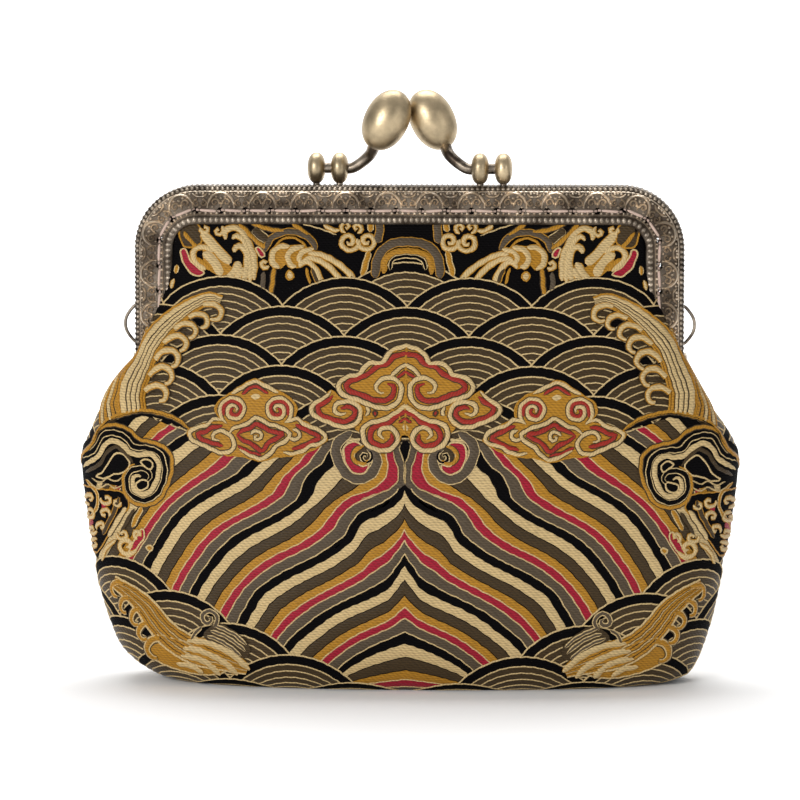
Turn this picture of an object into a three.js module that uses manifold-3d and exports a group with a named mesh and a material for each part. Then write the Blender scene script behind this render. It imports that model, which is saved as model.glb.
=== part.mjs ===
// A brocade purse with a kiss-lock frame, in millimetres, +Z up, standing on its base at the origin.
// Two cloth panels make a hollow boxed bag, and their upper edges are sewn into a hinged metal frame.
// The front faces -Y. The frame is shut: its two channel halves meet at the plane Y = 0.
import * as THREE from "three";
import { mergeVertices } from "three/addons/utils/BufferGeometryUtils.js";
import Module from "manifold-3d";

const wasm = await Module();
wasm.setup();
const { Manifold, Mesh: SolidMesh } = wasm;

// The bag
const purseWidth = 144;
const purseDepth = 48;
const bagHeight = 109;
const clothThickness = 1.6;
const seamGap = 0.3;
const sectionPower = 2.35;

// The frame, a channel bent round three sides of the mouth
const frameWidth = 120;
const frameLeg = 42;
const frameCorner = 13.5;
const faceBand = 8.4;
const innerBand = 5;
const halfDepth = 5.2;
const sheet = 0.8;
const closingGap = 0.25;
const edgeRadius = 1.8;
const rimBead = 0.9;
const rimRise = 0.5;
const fitGap = 0.3;

// The row of sewing holes
const holePitch = 5.5;
const holeRadius = 0.75;
const holeInset = 5.4;

// The hinges at the feet of the legs
const earRadius = 3.4;
const earGap = 0.35;
const rivetRadius = 1.1;
const rivetHead = 2.1;
const headThickness = 0.6;

// The wire loops for a chain, one on each side
const loopWire = 0.35;
const loopSpan = 8.2;
const loopReach = 2.4;
const loopAboveHinge = 8.3;
const loopClinch = 1.6;
const loopDepth = 2.2;

// The two clasp arms with their knobs
const armInner = 15.5;
const armOuter = 20.6;
const armDepth = 2.7;
const barrelRadius = 3.4;
const barrelHalf = 1.75;
const rodRadius = 1.1;
const pinRadius = 0.7;
const pinHead = 1.3;
const knobShort = 5;
const knobLong = 6.7;
const knobAside = 4.95;
const knobRise = 14.3;
const knobCross = 2.1;
const knobLean = 17;

// Sizes that follow from those
const footZ = bagHeight - frameLeg;
const frameHalf = frameWidth / 2;
const purseHalf = purseWidth / 2;
const purseDeep = purseDepth / 2;
const clothFace = halfDepth - sheet - fitGap;
const mouthHalf = frameHalf - faceBand;
const mouthTop = bagHeight - faceBand;
const hingeZ = footZ + earRadius;

// Rows of the bag from the base to the hips and up to the feet of the frame. up is a share of the
// foot's height, left and right are shares of the purse's half width, deep is a share of its half
// depth, and side is how much of the frame's depth the side of the bag is held open.
const bodyRows = [
  { up: 0.0, left: 0.6, right: 0.64, deep: 0.58, side: 0.05 },
  { up: 0.011, left: 0.75, right: 0.825, deep: 0.73, side: 0.05 },
  { up: 0.044, left: 0.811, right: 0.867, deep: 0.815, side: 0.05 },
  { up: 0.09, left: 0.867, right: 0.885, deep: 0.875, side: 0.05 },
  { up: 0.136, left: 0.894, right: 0.903, deep: 0.917, side: 0.05 },
  { up: 0.23, left: 0.924, right: 0.928, deep: 0.967, side: 0.05 },
  { up: 0.323, left: 0.949, right: 0.946, deep: 0.992, side: 0.05 },
  { up: 0.51, left: 0.974, right: 0.976, deep: 1.0, side: 0.05 },
  { up: 0.64, left: 0.992, right: 0.992, deep: 0.982, side: 0.05 },
  { up: 0.742, left: 1.0, right: 1.0, deep: 0.954, side: 0.1 },
];

// The shoulders, between the hips and the frame. wide is a share of the way from the frame's half
// width out to the purse's half width.
const shoulderRows = [
  { up: 0.788, left: 0.94, right: 0.95, deep: 0.933, side: 0.22 },
  { up: 0.836, left: 0.8, right: 0.785, deep: 0.908, side: 0.38 },
  { up: 0.883, left: 0.69, right: 0.57, deep: 0.879, side: 0.55 },
  { up: 0.93, left: 0.57, right: 0.4, deep: 0.846, side: 0.75 },
  { up: 0.977, left: 0.4, right: 0.233, deep: 0.808, side: 0.92 },
  { up: 1.0, left: 0.275, right: 0.133, deep: 0.788, side: 1.0 },
];

// The mouth, between the legs of the frame. up is a share of the way from the feet to the frame's
// top band, over is how far the cloth puffs out in front of the leg as a share of the band, and
// deep is the share of the depth at the feet that is left in front of the sewn edge.
const mouthRows = [
  { up: 0.12, over: 0.96, deep: 0.9 },
  { up: 0.27, over: 0.7, deep: 0.765 },
  { up: 0.42, over: 0.43, deep: 0.615 },
  { up: 0.6, over: 0.16, deep: 0.44 },
  { up: 0.78, over: 0.05, deep: 0.27 },
  { up: 0.92, over: 0.05, deep: 0.15 },
  { up: 1.03, over: 0.05, deep: 0.09 },
];

// Each row as real lengths: the height, the two half widths, the half depth and the side's half gap
function bagSections() {
  const lower = bodyRows.map((row) => ({
    z: row.up * footZ,
    left: row.left * purseHalf,
    right: row.right * purseHalf,
    deep: row.deep * purseDeep,
    side: row.side * clothFace,
  }));
  const out = purseHalf - frameHalf;
  const shoulder = shoulderRows.map((row) => ({
    z: row.up * footZ,
    left: frameHalf + row.left * out,
    right: frameHalf + row.right * out,
    deep: row.deep * purseDeep,
    side: row.side * clothFace,
  }));
  const footDeep = shoulder[shoulder.length - 1].deep;
  const mouth = mouthRows.map((row) => ({
    z: footZ + row.up * (mouthTop - footZ),
    left: mouthHalf + row.over * faceBand,
    right: mouthHalf + row.over * faceBand,
    deep: clothFace + row.deep * (footDeep - clothFace),
    side: clothFace,
  }));
  return [...lower, ...shoulder, ...mouth];
}

// A closed geometry from points and triangles, turned to face out
function closedGeometry(points, triangles) {
  let volume = 0;
  for (const [a, b, c] of triangles)
    volume += points[a].dot(new THREE.Vector3().crossVectors(points[b], points[c]));
  const facing = volume < 0 ? triangles.map(([a, b, c]) => [a, c, b]) : triangles;
  return new THREE.BufferGeometry().setFromPoints(points).setIndex(facing.flat());
}

// Joins rings of equal counts into a closed skin. capFaces triangulates the ring for both ends.
function loft(rings, capFaces) {
  const count = rings[0].length;
  const triangles = [];
  for (let i = 0; i + 1 < rings.length; i++)
    for (let k = 0; k < count; k++) {
      const next = (k + 1) % count;
      const [a, b] = [i * count + k, i * count + next];
      triangles.push([a, b, b + count], [a, b + count, a + count]);
    }
  const last = (rings.length - 1) * count;
  for (const [a, b, c] of capFaces)
    triangles.push([a, c, b], [last + a, last + b, last + c]);
  return closedGeometry(rings.flat(), triangles);
}

// The cap's triangles for a flat outline
function capOf(outline) {
  const contour = outline.map(([u, v]) => new THREE.Vector2(u, v));
  const faces = THREE.ShapeUtils.triangulateShape(contour, []);
  const [a, b, c] = faces[0].map((i) => contour[i]);
  const turn = (b.x - a.x) * (c.y - a.y) - (b.y - a.y) * (c.x - a.x);
  const same = turn > 0 === THREE.ShapeUtils.area(contour) > 0;
  return same ? faces : faces.map(([i, j, k]) => [i, k, j]);
}

// A three.js geometry as a solid that can be joined and cut
function solidOf(geometry) {
  const bare = geometry.clone();
  bare.deleteAttribute("normal");
  bare.deleteAttribute("uv");
  const merged = mergeVertices(bare, 1e-4);
  return new Manifold(
    new SolidMesh({
      numProp: 3,
      vertProperties: merged.attributes.position.array,
      triVerts: new Uint32Array(merged.index.array),
    }),
  );
}

// A solid back as a named three.js mesh
function meshOf(name, solid, material) {
  const made = solid.getMesh();
  const geometry = new THREE.BufferGeometry()
    .setAttribute("position", new THREE.BufferAttribute(made.vertProperties, 3))
    .setIndex(new THREE.BufferAttribute(made.triVerts, 1));
  geometry.computeVertexNormals();
  const mesh = new THREE.Mesh(geometry, material);
  mesh.name = name;
  return mesh;
}

// A box between two corners
function boxSolid([x0, y0, z0], [x1, y1, z1]) {
  const box = new THREE.BoxGeometry(x1 - x0, y1 - y0, z1 - z0);
  return solidOf(box.translate((x0 + x1) / 2, (y0 + y1) / 2, (z0 + z1) / 2));
}

// A round bar along X, Y or Z between two places on that axis
function barSolid(axis, radius, from, to, centre, sides) {
  const bar = new THREE.CylinderGeometry(radius, radius, to - from, sides);
  const middle = (from + to) / 2;
  if (axis === "x") bar.rotateZ(Math.PI / 2).translate(middle, centre[0], centre[1]);
  if (axis === "y") bar.translate(centre[0], middle, centre[1]);
  if (axis === "z") bar.rotateX(Math.PI / 2).translate(centre[0], centre[1], middle);
  return solidOf(bar);
}

// Stations round the frame from the left foot to the right foot: a point on the outer edge and the
// direction that leads in from it. below lengthens both legs.
function frameStations(below, arcSteps) {
  const stations = [{ x: -frameHalf, z: footZ - below, inX: 1, inZ: 0 }];
  const corner = (centreX, from, to) => {
    for (let i = 0; i <= arcSteps; i++) {
      const angle = from + ((to - from) * i) / arcSteps;
      const [c, s] = [Math.cos(angle), Math.sin(angle)];
      const centreZ = bagHeight - frameCorner;
      stations.push({
        x: centreX + frameCorner * c,
        z: centreZ + frameCorner * s,
        inX: -c,
        inZ: -s,
      });
    }
  };
  corner(-frameHalf + frameCorner, Math.PI, Math.PI / 2);
  corner(frameHalf - frameCorner, Math.PI / 2, 0);
  stations.push({ x: frameHalf, z: footZ - below, inX: -1, inZ: 0 });
  return stations;
}

// Sweeps an outline of (inset, depth) round the frame
function sweepFrame(outline, below = 0, arcSteps = 7) {
  const rings = frameStations(below, arcSteps).map((at) =>
    outline.map(
      ([inset, depth]) =>
        new THREE.Vector3(at.x + at.inX * inset, depth, at.z + at.inZ * inset),
    ),
  );
  return solidOf(loft(rings, capOf(outline)));
}

// The points of an arc in (inset, depth)
function arcPoints(centreInset, centreDepth, alongInset, alongDepth, from, to, steps) {
  return Array.from({ length: steps + 1 }, (_, i) => {
    const angle = THREE.MathUtils.degToRad(from + ((to - from) * i) / steps);
    return [
      centreInset + alongInset * Math.cos(angle),
      centreDepth + alongDepth * Math.sin(angle),
    ];
  });
}

// The channel's section: the face band with its raised rim, the rounded edge, the web, the inner band
function channelOutline(facing) {
  const inner = edgeRadius - sheet;
  return [
    ...arcPoints(faceBand - rimBead, halfDepth, rimBead, rimRise, 0, 180, 4),
    ...arcPoints(edgeRadius, halfDepth - edgeRadius, edgeRadius, edgeRadius, 90, 180, 4),
    [0, closingGap],
    [innerBand, closingGap],
    [innerBand, closingGap + sheet],
    [sheet, closingGap + sheet],
    ...arcPoints(edgeRadius, halfDepth - edgeRadius, inner, inner, 180, 90, 3),
    [faceBand, halfDepth - sheet],
  ].map(([inset, depth]) => [inset, facing * depth]);
}

// The sewing holes, spaced evenly round the frame on a line inside its outer edge
function sewingPlaces() {
  const bend = frameCorner - holeInset;
  const leg = frameLeg - frameCorner;
  const top = frameWidth - 2 * frameCorner;
  const arc = (Math.PI / 2) * bend;
  const whole = 2 * leg + 2 * arc + top;
  const count = Math.round(whole / holePitch);
  return Array.from({ length: count }, (_, i) => {
    const along = ((i + 0.5) * whole) / count;
    const mirrored = along > whole / 2;
    const half = mirrored ? whole - along : along;
    const side = mirrored ? 1 : -1;
    if (half < leg) return [side * (frameHalf - holeInset), footZ + half];
    const turn = (half - leg) / bend;
    if (half < leg + arc)
      return [
        side * (frameHalf - frameCorner + bend * Math.cos(turn)),
        bagHeight - frameCorner + bend * Math.sin(turn),
      ];
    const run = half - leg - arc;
    return [side * (frameHalf - frameCorner - run), bagHeight - holeInset];
  });
}

// One half of the frame. facing is -1 for the front and 1 for the back, and the front's hinge ears
// lie outside the back's.
function frameHalfSolid(facing) {
  let half = sweepFrame(channelOutline(facing));
  const earHole = rivetRadius + fitGap;
  const notch = earRadius + earGap;
  const behind = sheet + earGap;
  for (const side of [-1, 1]) {
    const bar = (radius, from, to, sides) => {
      const ends = [side * (frameHalf - from), side * (frameHalf - to)];
      return barSolid("x", radius, Math.min(...ends), Math.max(...ends), [0, hingeZ], sides);
    };
    if (facing < 0) {
      half = half.subtract(bar(notch, sheet, innerBand + fitGap, 18));
      half = half.add(bar(earRadius, 0, sheet, 18));
    } else {
      half = half.subtract(bar(notch, -sheet, behind - 0.01, 18));
      half = half.subtract(bar(rivetHead + fitGap, behind + sheet, innerBand + fitGap, 14));
      const ends = [side * (frameHalf - behind), side * (frameHalf - behind - sheet)];
      const tab = boxSolid(
        [Math.min(...ends), 0, hingeZ - earRadius],
        [Math.max(...ends), halfDepth - sheet / 2, hingeZ + earRadius],
      );
      half = half.add(bar(earRadius, behind, behind + sheet, 18)).add(tab);
    }
    half = half.subtract(bar(earHole, -sheet, behind + 2 * sheet, 12));
  }
  const reach = [facing * (halfDepth - 2 * sheet), facing * (halfDepth + rimRise)];
  const holes = sewingPlaces().map((place) =>
    barSolid("y", holeRadius, Math.min(...reach), Math.max(...reach), place, 6),
  );
  half = half.subtract(Manifold.union([...holes, ...pinHoles(facing)]));
  return facing < 0 ? half.subtract(Manifold.union(loopHoles())) : half;
}

// Where a clasp arm's two pins go through the web: the right arm stands on the front half
function pinHoles(facing) {
  return [armInner, armOuter].map((aside) =>
    barSolid(
      "z",
      pinRadius + fitGap,
      bagHeight - 2 * sheet,
      bagHeight + sheet,
      [-facing * aside, facing * armDepth],
      10,
    ),
  );
}

// Where the wire loops go through the side of the front half
function loopHoles() {
  const radius = loopWire + fitGap;
  return [-1, 1].flatMap((side) =>
    [-1, 1].map((end) => {
      const z = hingeZ + loopAboveHinge + (end * loopSpan) / 2;
      const reach = [side * (frameHalf - 2 * sheet), side * (frameHalf + sheet)];
      return barSolid("x", radius, Math.min(...reach), Math.max(...reach), [-loopDepth, z], 8);
    }),
  );
}

// The room that the frame takes, with a clearance round it, also outside the legs
function frameRoom(clearance, arcSteps) {
  const deep = halfDepth + rimRise + clearance;
  const outside = purseWidth;
  const outline = [
    [-clearance, -deep],
    [faceBand + clearance, -deep],
    [faceBand + clearance, deep],
    [-clearance, deep],
  ];
  const room = sweepFrame(outline, clearance, arcSteps);
  const left = boxSolid(
    [-outside, -deep, footZ - clearance],
    [-frameHalf + sheet, deep, bagHeight - frameCorner],
  );
  return room.add(left).add(left.mirror([1, 0, 0]));
}

// A closed skin through the bag's sections, taken in by the wall's thickness where it is the inside
function pillow(inset, sides) {
  const half = sides / 2;
  const rings = bagSections().map((row) => {
    const z = row.z + inset * Math.max(0, 1 - row.z / footZ);
    const deep = Math.max(row.deep - inset, clothFace / 2);
    const side = Math.min(Math.max(row.side - inset, seamGap / 2), deep / 2);
    const point = (angle, facing) => {
      const c = Math.cos(angle);
      const wide = (c > 0 ? row.right : row.left) - inset;
      const x = Math.sign(c) * wide * Math.abs(c) ** (2 / sectionPower);
      const y = side + (deep - side) * Math.abs(Math.sin(angle)) ** (2 / sectionPower);
      return new THREE.Vector3(x, facing * y, z);
    };
    const turns = Array.from({ length: half + 1 }, (_, i) => (Math.PI * i) / half);
    const front = turns.map((angle) => point(Math.PI - angle, -1));
    const back = turns.map((angle) => point(angle, 1));
    return [...front, ...back];
  });
  const flat = rings[0].map((p) => [p.x, p.y]);
  return solidOf(loft(rings, capOf(flat)));
}

// The edge of a panel that lies in the frame's channel
function tongue(facing) {
  const from = innerBand - sheet;
  const to = faceBand + fitGap + clothThickness;
  const outline = [
    [from, facing * (clothFace - clothThickness)],
    [to, facing * (clothFace - clothThickness)],
    [to, facing * clothFace],
    [from, facing * clothFace],
  ];
  return sweepFrame(outline, 0, 6);
}

// Both panels in one: the outer skin, clear of the frame, less the inside, which stays a wall's
// thickness away from the frame. The mouth between the two sewn edges is open.
function bagShell() {
  const outer = pillow(0, 40).subtract(frameRoom(fitGap, 6));
  const inner = pillow(clothThickness, 28).subtract(frameRoom(fitGap + clothThickness, 6));
  const slot = clothFace - clothThickness;
  const mouth = sweepFrame(
    [
      [-faceBand, -slot],
      [faceBand + fitGap + 2 * clothThickness, -slot],
      [faceBand + fitGap + 2 * clothThickness, slot],
      [-faceBand, slot],
    ],
    0,
    6,
  );
  return outer.subtract(inner).subtract(mouth);
}

// One panel: the shell on its side of the seams, and its edge in the channel
function panelSolid(shell, facing) {
  const far = 2 * purseWidth;
  const keep =
    facing < 0
      ? boxSolid([-far, -far, -far], [far, -seamGap / 2, far])
      : boxSolid([-far, seamGap / 2, -far], [far, far, far]);
  return shell.intersect(keep).add(tongue(facing));
}

// A hinge rivet through both ears of one side
function rivetSolid(side) {
  const inside = 2 * sheet + earGap;
  const bar = (radius, from, to) => {
    const ends = [side * (frameHalf - from), side * (frameHalf - to)];
    return barSolid("x", radius, Math.min(...ends), Math.max(...ends), [0, hingeZ], 14);
  };
  return bar(rivetRadius, -fitGap - headThickness, inside + fitGap + headThickness)
    .add(bar(rivetHead, -fitGap - headThickness, -fitGap))
    .add(bar(rivetHead, inside + fitGap, inside + fitGap + headThickness));
}

// A bar of round section along a smooth curve through the points
function wireSolid(points, radius, sides, steps) {
  const section = new THREE.Shape();
  section.absarc(0, 0, radius, 0, 2 * Math.PI, false);
  const curve = new THREE.CatmullRomCurve3(points, false, "centripetal");
  const tube = new THREE.ExtrudeGeometry(section, {
    steps,
    curveSegments: sides / 2,
    extrudePath: curve,
  });
  return solidOf(tube);
}

// A wire loop: it bows out from the side of the front half, and its ends are clinched inside
function loopSolid(side) {
  const middle = hingeZ + loopAboveHinge;
  const inside = sheet + fitGap + loopWire;
  const place = (inset, up) =>
    new THREE.Vector3(side * (frameHalf - inset), -loopDepth, middle + up);
  const half = loopSpan / 2;
  const points = [
    place(inside, -half + loopClinch),
    place(inside, -half + loopClinch / 2),
    place(inside - loopWire / 2, -half),
    place(0, -half),
    place(-loopReach * 0.4, -half * 0.8),
    place(-loopReach * 0.86, -half * 0.4),
    place(-loopReach, 0),
    place(-loopReach * 0.86, half * 0.4),
    place(-loopReach * 0.4, half * 0.8),
    place(0, half),
    place(inside - loopWire / 2, half),
    place(inside, half - loopClinch / 2),
    place(inside, half - loopClinch),
  ];
  return wireSolid(points, loopWire, 6, 24);
}

// A rounded barrel on the clasp's rod
function barrelSolid(centre) {
  const barrelSweep = THREE.MathUtils.degToRad(75);
  const barrelCrown = 0.6;
  const profile = [new THREE.Vector2(0, -barrelHalf)];
  const bands = 6;
  for (let i = 0; i <= bands; i++) {
    const angle = barrelSweep * ((2 * i) / bands - 1);
    profile.push(
      new THREE.Vector2(
        barrelRadius * Math.cos(angle) ** barrelCrown,
        (barrelHalf * Math.sin(angle)) / Math.sin(barrelSweep),
      ),
    );
  }
  profile.push(new THREE.Vector2(0, barrelHalf));
  const barrel = new THREE.LatheGeometry(profile, 14).rotateZ(Math.PI / 2);
  return solidOf(barrel.translate(centre.x, centre.y, centre.z));
}

// A clasp arm: two pins riveted through the web, two barrels, a bent rod and the knob, soldered up
function armSolid(facing) {
  const side = -facing;
  const barrelZ = bagHeight + fitGap + barrelRadius;
  const place = (aside, depth, z) => new THREE.Vector3(side * aside, facing * depth, z);
  const knobZ = bagHeight + knobRise;
  const lean = THREE.MathUtils.degToRad(knobLean);
  const knob = new THREE.SphereGeometry(1, 16, 10);
  knob.rotateX(Math.PI / 2).scale(knobShort, knobShort, knobLong);
  knob.rotateY(-side * lean).translate(side * knobAside, -facing * knobCross, knobZ);
  const rootAside = knobAside + knobLong * 0.75 * Math.sin(lean);
  const rootZ = knobZ - knobLong * 0.75 * Math.cos(lean);
  const rod = wireSolid(
    [
      place(armOuter - barrelHalf / 2, armDepth, barrelZ),
      place(armInner, armDepth, barrelZ),
      place((armInner + rootAside) / 2 + 1, armDepth * 0.9, barrelZ + 0.2),
      place(rootAside + 1.4, armDepth * 0.35, (barrelZ + rootZ) / 2),
      place(rootAside, -knobCross * 0.8, rootZ),
      place(rootAside - 0.7, -knobCross, rootZ + 2),
    ],
    rodRadius,
    10,
    14,
  );
  const pieces = [rod, solidOf(knob)];
  for (const aside of [armInner, armOuter]) {
    pieces.push(barrelSolid(place(aside, armDepth, barrelZ)));
    const under = bagHeight - sheet - fitGap;
    const at = [side * aside, facing * armDepth];
    pieces.push(barSolid("z", pinRadius, under - headThickness, barrelZ, at, 10));
    pieces.push(barSolid("z", pinHead, under - headThickness, under, at, 12));
  }
  return Manifold.union(pieces);
}

const brass = new THREE.MeshStandardMaterial({ color: 0x8c7a5c, roughness: 0.42, metalness: 1 });
const knobBrass = new THREE.MeshStandardMaterial({ color: 0xc9b48a, roughness: 0.3, metalness: 1 });
const wire = new THREE.MeshStandardMaterial({ color: 0x77706a, roughness: 0.4, metalness: 1 });
const brocade = new THREE.MeshStandardMaterial({ color: 0x5a4528, roughness: 0.7, metalness: 0 });

const purse = new THREE.Group();
const shell = bagShell();
purse.add(meshOf("front_panel", panelSolid(shell, -1), brocade));
purse.add(meshOf("back_panel", panelSolid(shell, 1), brocade));
purse.add(meshOf("frame_front", frameHalfSolid(-1), brass));
purse.add(meshOf("frame_back", frameHalfSolid(1), brass));
purse.add(meshOf("clasp_arm_right", armSolid(-1), knobBrass));
purse.add(meshOf("clasp_arm_left", armSolid(1), knobBrass));
for (const [name, side] of [["left", -1], ["right", 1]]) {
  purse.add(meshOf("hinge_rivet_" + name, rivetSolid(side), brass));
  purse.add(meshOf("chain_loop_" + name, loopSolid(side), wire));
}

export default purse;
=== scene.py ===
"""A brocade purse with a kiss-lock frame, dressed piece by piece around its fixed model."""

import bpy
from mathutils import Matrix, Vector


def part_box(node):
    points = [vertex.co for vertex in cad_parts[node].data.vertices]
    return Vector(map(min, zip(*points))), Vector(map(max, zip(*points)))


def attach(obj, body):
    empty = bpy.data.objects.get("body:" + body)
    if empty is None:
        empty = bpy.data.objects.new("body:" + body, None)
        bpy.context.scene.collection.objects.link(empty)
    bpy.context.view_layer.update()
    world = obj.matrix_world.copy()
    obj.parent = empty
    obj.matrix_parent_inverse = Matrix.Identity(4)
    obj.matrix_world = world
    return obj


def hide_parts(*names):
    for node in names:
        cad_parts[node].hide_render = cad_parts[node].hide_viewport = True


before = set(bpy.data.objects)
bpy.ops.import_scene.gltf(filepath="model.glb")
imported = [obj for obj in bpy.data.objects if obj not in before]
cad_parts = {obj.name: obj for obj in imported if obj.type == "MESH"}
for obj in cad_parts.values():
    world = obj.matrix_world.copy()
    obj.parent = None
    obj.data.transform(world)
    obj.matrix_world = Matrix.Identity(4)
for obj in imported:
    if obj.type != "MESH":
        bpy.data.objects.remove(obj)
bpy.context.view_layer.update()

import functools
import math

import bmesh
import bpy
import numpy as np
from mathutils import Vector
from mathutils.geometry import delaunay_2d_cdt

bl_info = {
    "name": "Brocade Purse",
    "version": (1, 0, 0),
    "blender": (4, 5, 0),
    "location": "3D View > Sidebar > Purse",
    "description": "Makes a kiss-lock purse in figured brocade and its stage",
    "category": "Object",
}

MM = 0.001

# Places that the fixed model gives
PANEL_LOW, PANEL_HIGH = (Vector(c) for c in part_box("front_panel"))
BAND_LOW, BAND_HIGH = (Vector(c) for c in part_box("frame_front"))
HALF_WIDTH = PANEL_HIGH.x
HALF_DEPTH = -PANEL_LOW.y
FRAME_HALF = BAND_HIGH.x
FRAME_TOP = BAND_HIGH.z
FRAME_FOOT = BAND_LOW.z

# The two sides of the bag, and whether each is the back
SIDES = (("front", False), ("back", True))


# Sizes and colours that a user may change

def length(name, about, default):
    return bpy.props.FloatProperty(
        name=name, description=about, default=default, subtype="DISTANCE", precision=5
    )


def colour(name, about, default):
    return bpy.props.FloatVectorProperty(
        name=name, description=about, default=default, subtype="COLOR", size=3, min=0, max=1
    )


class ClothSettings(bpy.types.PropertyGroup):
    """The woven cloth"""
    cloth_wall: length("Cloth", "Thickness of the cloth", 1.2 * MM)
    fan_radius: length("Fan radius", "Radius of a wave fan", 17.4 * MM)
    fan_pitch: length("Fan pitch", "Distance between two fans of a row", 27.0 * MM)
    fan_drop: length("Fan drop", "Distance between two rows of fans", 6.75 * MM)
    fan_band: length("Fan band", "Width of a fan's black border", 2.3 * MM)
    fan_line: length("Fan line pitch", "Distance between a fan's fine lines", 1.64 * MM)
    line_width: length("Line width", "Width of a fine outline", 0.39 * MM)
    relief: length("Relief", "Height of the raised threads", 0.2 * MM)


class ThreadColours(bpy.types.PropertyGroup):
    """Colours of the silk and of the sewing thread"""
    black: colour("Black", "Ground of the cloth", (0.0026, 0.0022, 0.0024))
    brown: colour("Brown", "Fans and stripes", (0.042, 0.025, 0.0085))
    grey: colour("Grey", "Grey stripes", (0.07, 0.05, 0.03))
    cream: colour("Cream", "Outlines and foam", (0.47, 0.34, 0.16))
    gold: colour("Gold", "Gold stripes and foam", (0.33, 0.155, 0.012))
    crimson: colour("Crimson", "Red stripes", (0.26, 0.006, 0.02))
    rust: colour("Rust", "Red in the clouds", (0.25, 0.018, 0.01))
    thread: colour("Sewing thread", "Stitches along the frame", (0.62, 0.46, 0.38))


class MetalSettings(bpy.types.PropertyGroup):
    """The frame and the clasp"""
    corner: length("Corner", "Outer corner radius of the frame", 13.5 * MM)
    band: length("Band", "Width of the frame's face", 8.4 * MM)
    face: length("Face", "Distance from the middle plane to the frame's face", 5.2 * MM)
    sheet: length("Sheet", "Thickness of the metal", 0.8 * MM)
    hole_inset: length("Hole inset", "Sewing holes' distance from the outer edge", 5.4 * MM)
    stitch_pitch: length("Stitch pitch", "Distance between two sewing holes", 5.5 * MM)
    # Patina, and painted shade where it darkens the frame's ground round the relief
    patina_and_shade: colour("Patina", "Dark metal in the hollows", (0.05, 0.037, 0.027))
    worn: colour("Worn", "Bright metal on the crests", (0.78, 0.66, 0.52))
    knob: colour("Knob", "Brushed metal of the knobs", (0.6, 0.475, 0.3))


class StageSettings(bpy.types.PropertyGroup):
    """Camera and light"""
    camera_distance: length("Camera distance", "From the purse to the camera", 0.9)
    camera_azimuth: bpy.props.FloatProperty(
        name="Azimuth", description="Turn of the camera to the purse's left", default=0.045, subtype="ANGLE"
    )
    camera_elevation: bpy.props.FloatProperty(
        name="Elevation", description="Height angle of the camera", default=0.087, subtype="ANGLE"
    )
    floor: colour("Floor", "Floor and backdrop", (0.97, 0.97, 0.97))


# Materials

class Nodes:
    """Short calls for a node tree"""

    def __init__(self, tree):
        self.tree = tree

    def add(self, kind, values=None, **settings):
        node = self.tree.nodes.new(kind)
        for key, value in settings.items():
            setattr(node, key, value)
        for key, value in (values or {}).items():
            self.put(node.inputs[key], value)
        return node

    def put(self, socket, value):
        if isinstance(value, bpy.types.NodeSocket):
            self.tree.links.new(value, socket)
        else:
            socket.default_value = value

    def math(self, operation, first, second=0.0):
        return self.add("ShaderNodeMath", {0: first, 1: second}, operation=operation).outputs[0]

    def mix(self, factor, first, second):
        node = self.add("ShaderNodeMix", {0: factor}, data_type="RGBA")
        self.put(node.inputs[6], first)
        self.put(node.inputs[7], second)
        return node.outputs[2]

    def wave(self, position, pitch):
        return self.math("SINE", self.math("MULTIPLY", position, 2 * math.pi / pitch))


def rgba(values, strength=1.0):
    return tuple(min(1.0, c * strength) for c in values) + (1.0,)


def new_material(name):
    material = bpy.data.materials.new(name)
    material.use_nodes = True
    tree = material.node_tree
    tree.nodes.clear()
    nodes = Nodes(tree)
    shader = nodes.add("ShaderNodeBsdfPrincipled")
    output = nodes.add("ShaderNodeOutputMaterial")
    tree.links.new(shader.outputs[0], output.inputs[0])
    return material, nodes, shader


# How far apart the threads lie that show in the silk
WEFT_PITCH = 0.56 * MM
TWILL_PITCH = 1.1 * MM
CORD_PITCH = 1.5 * MM
WEFT_WOBBLE = 0.22 * MM


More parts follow.
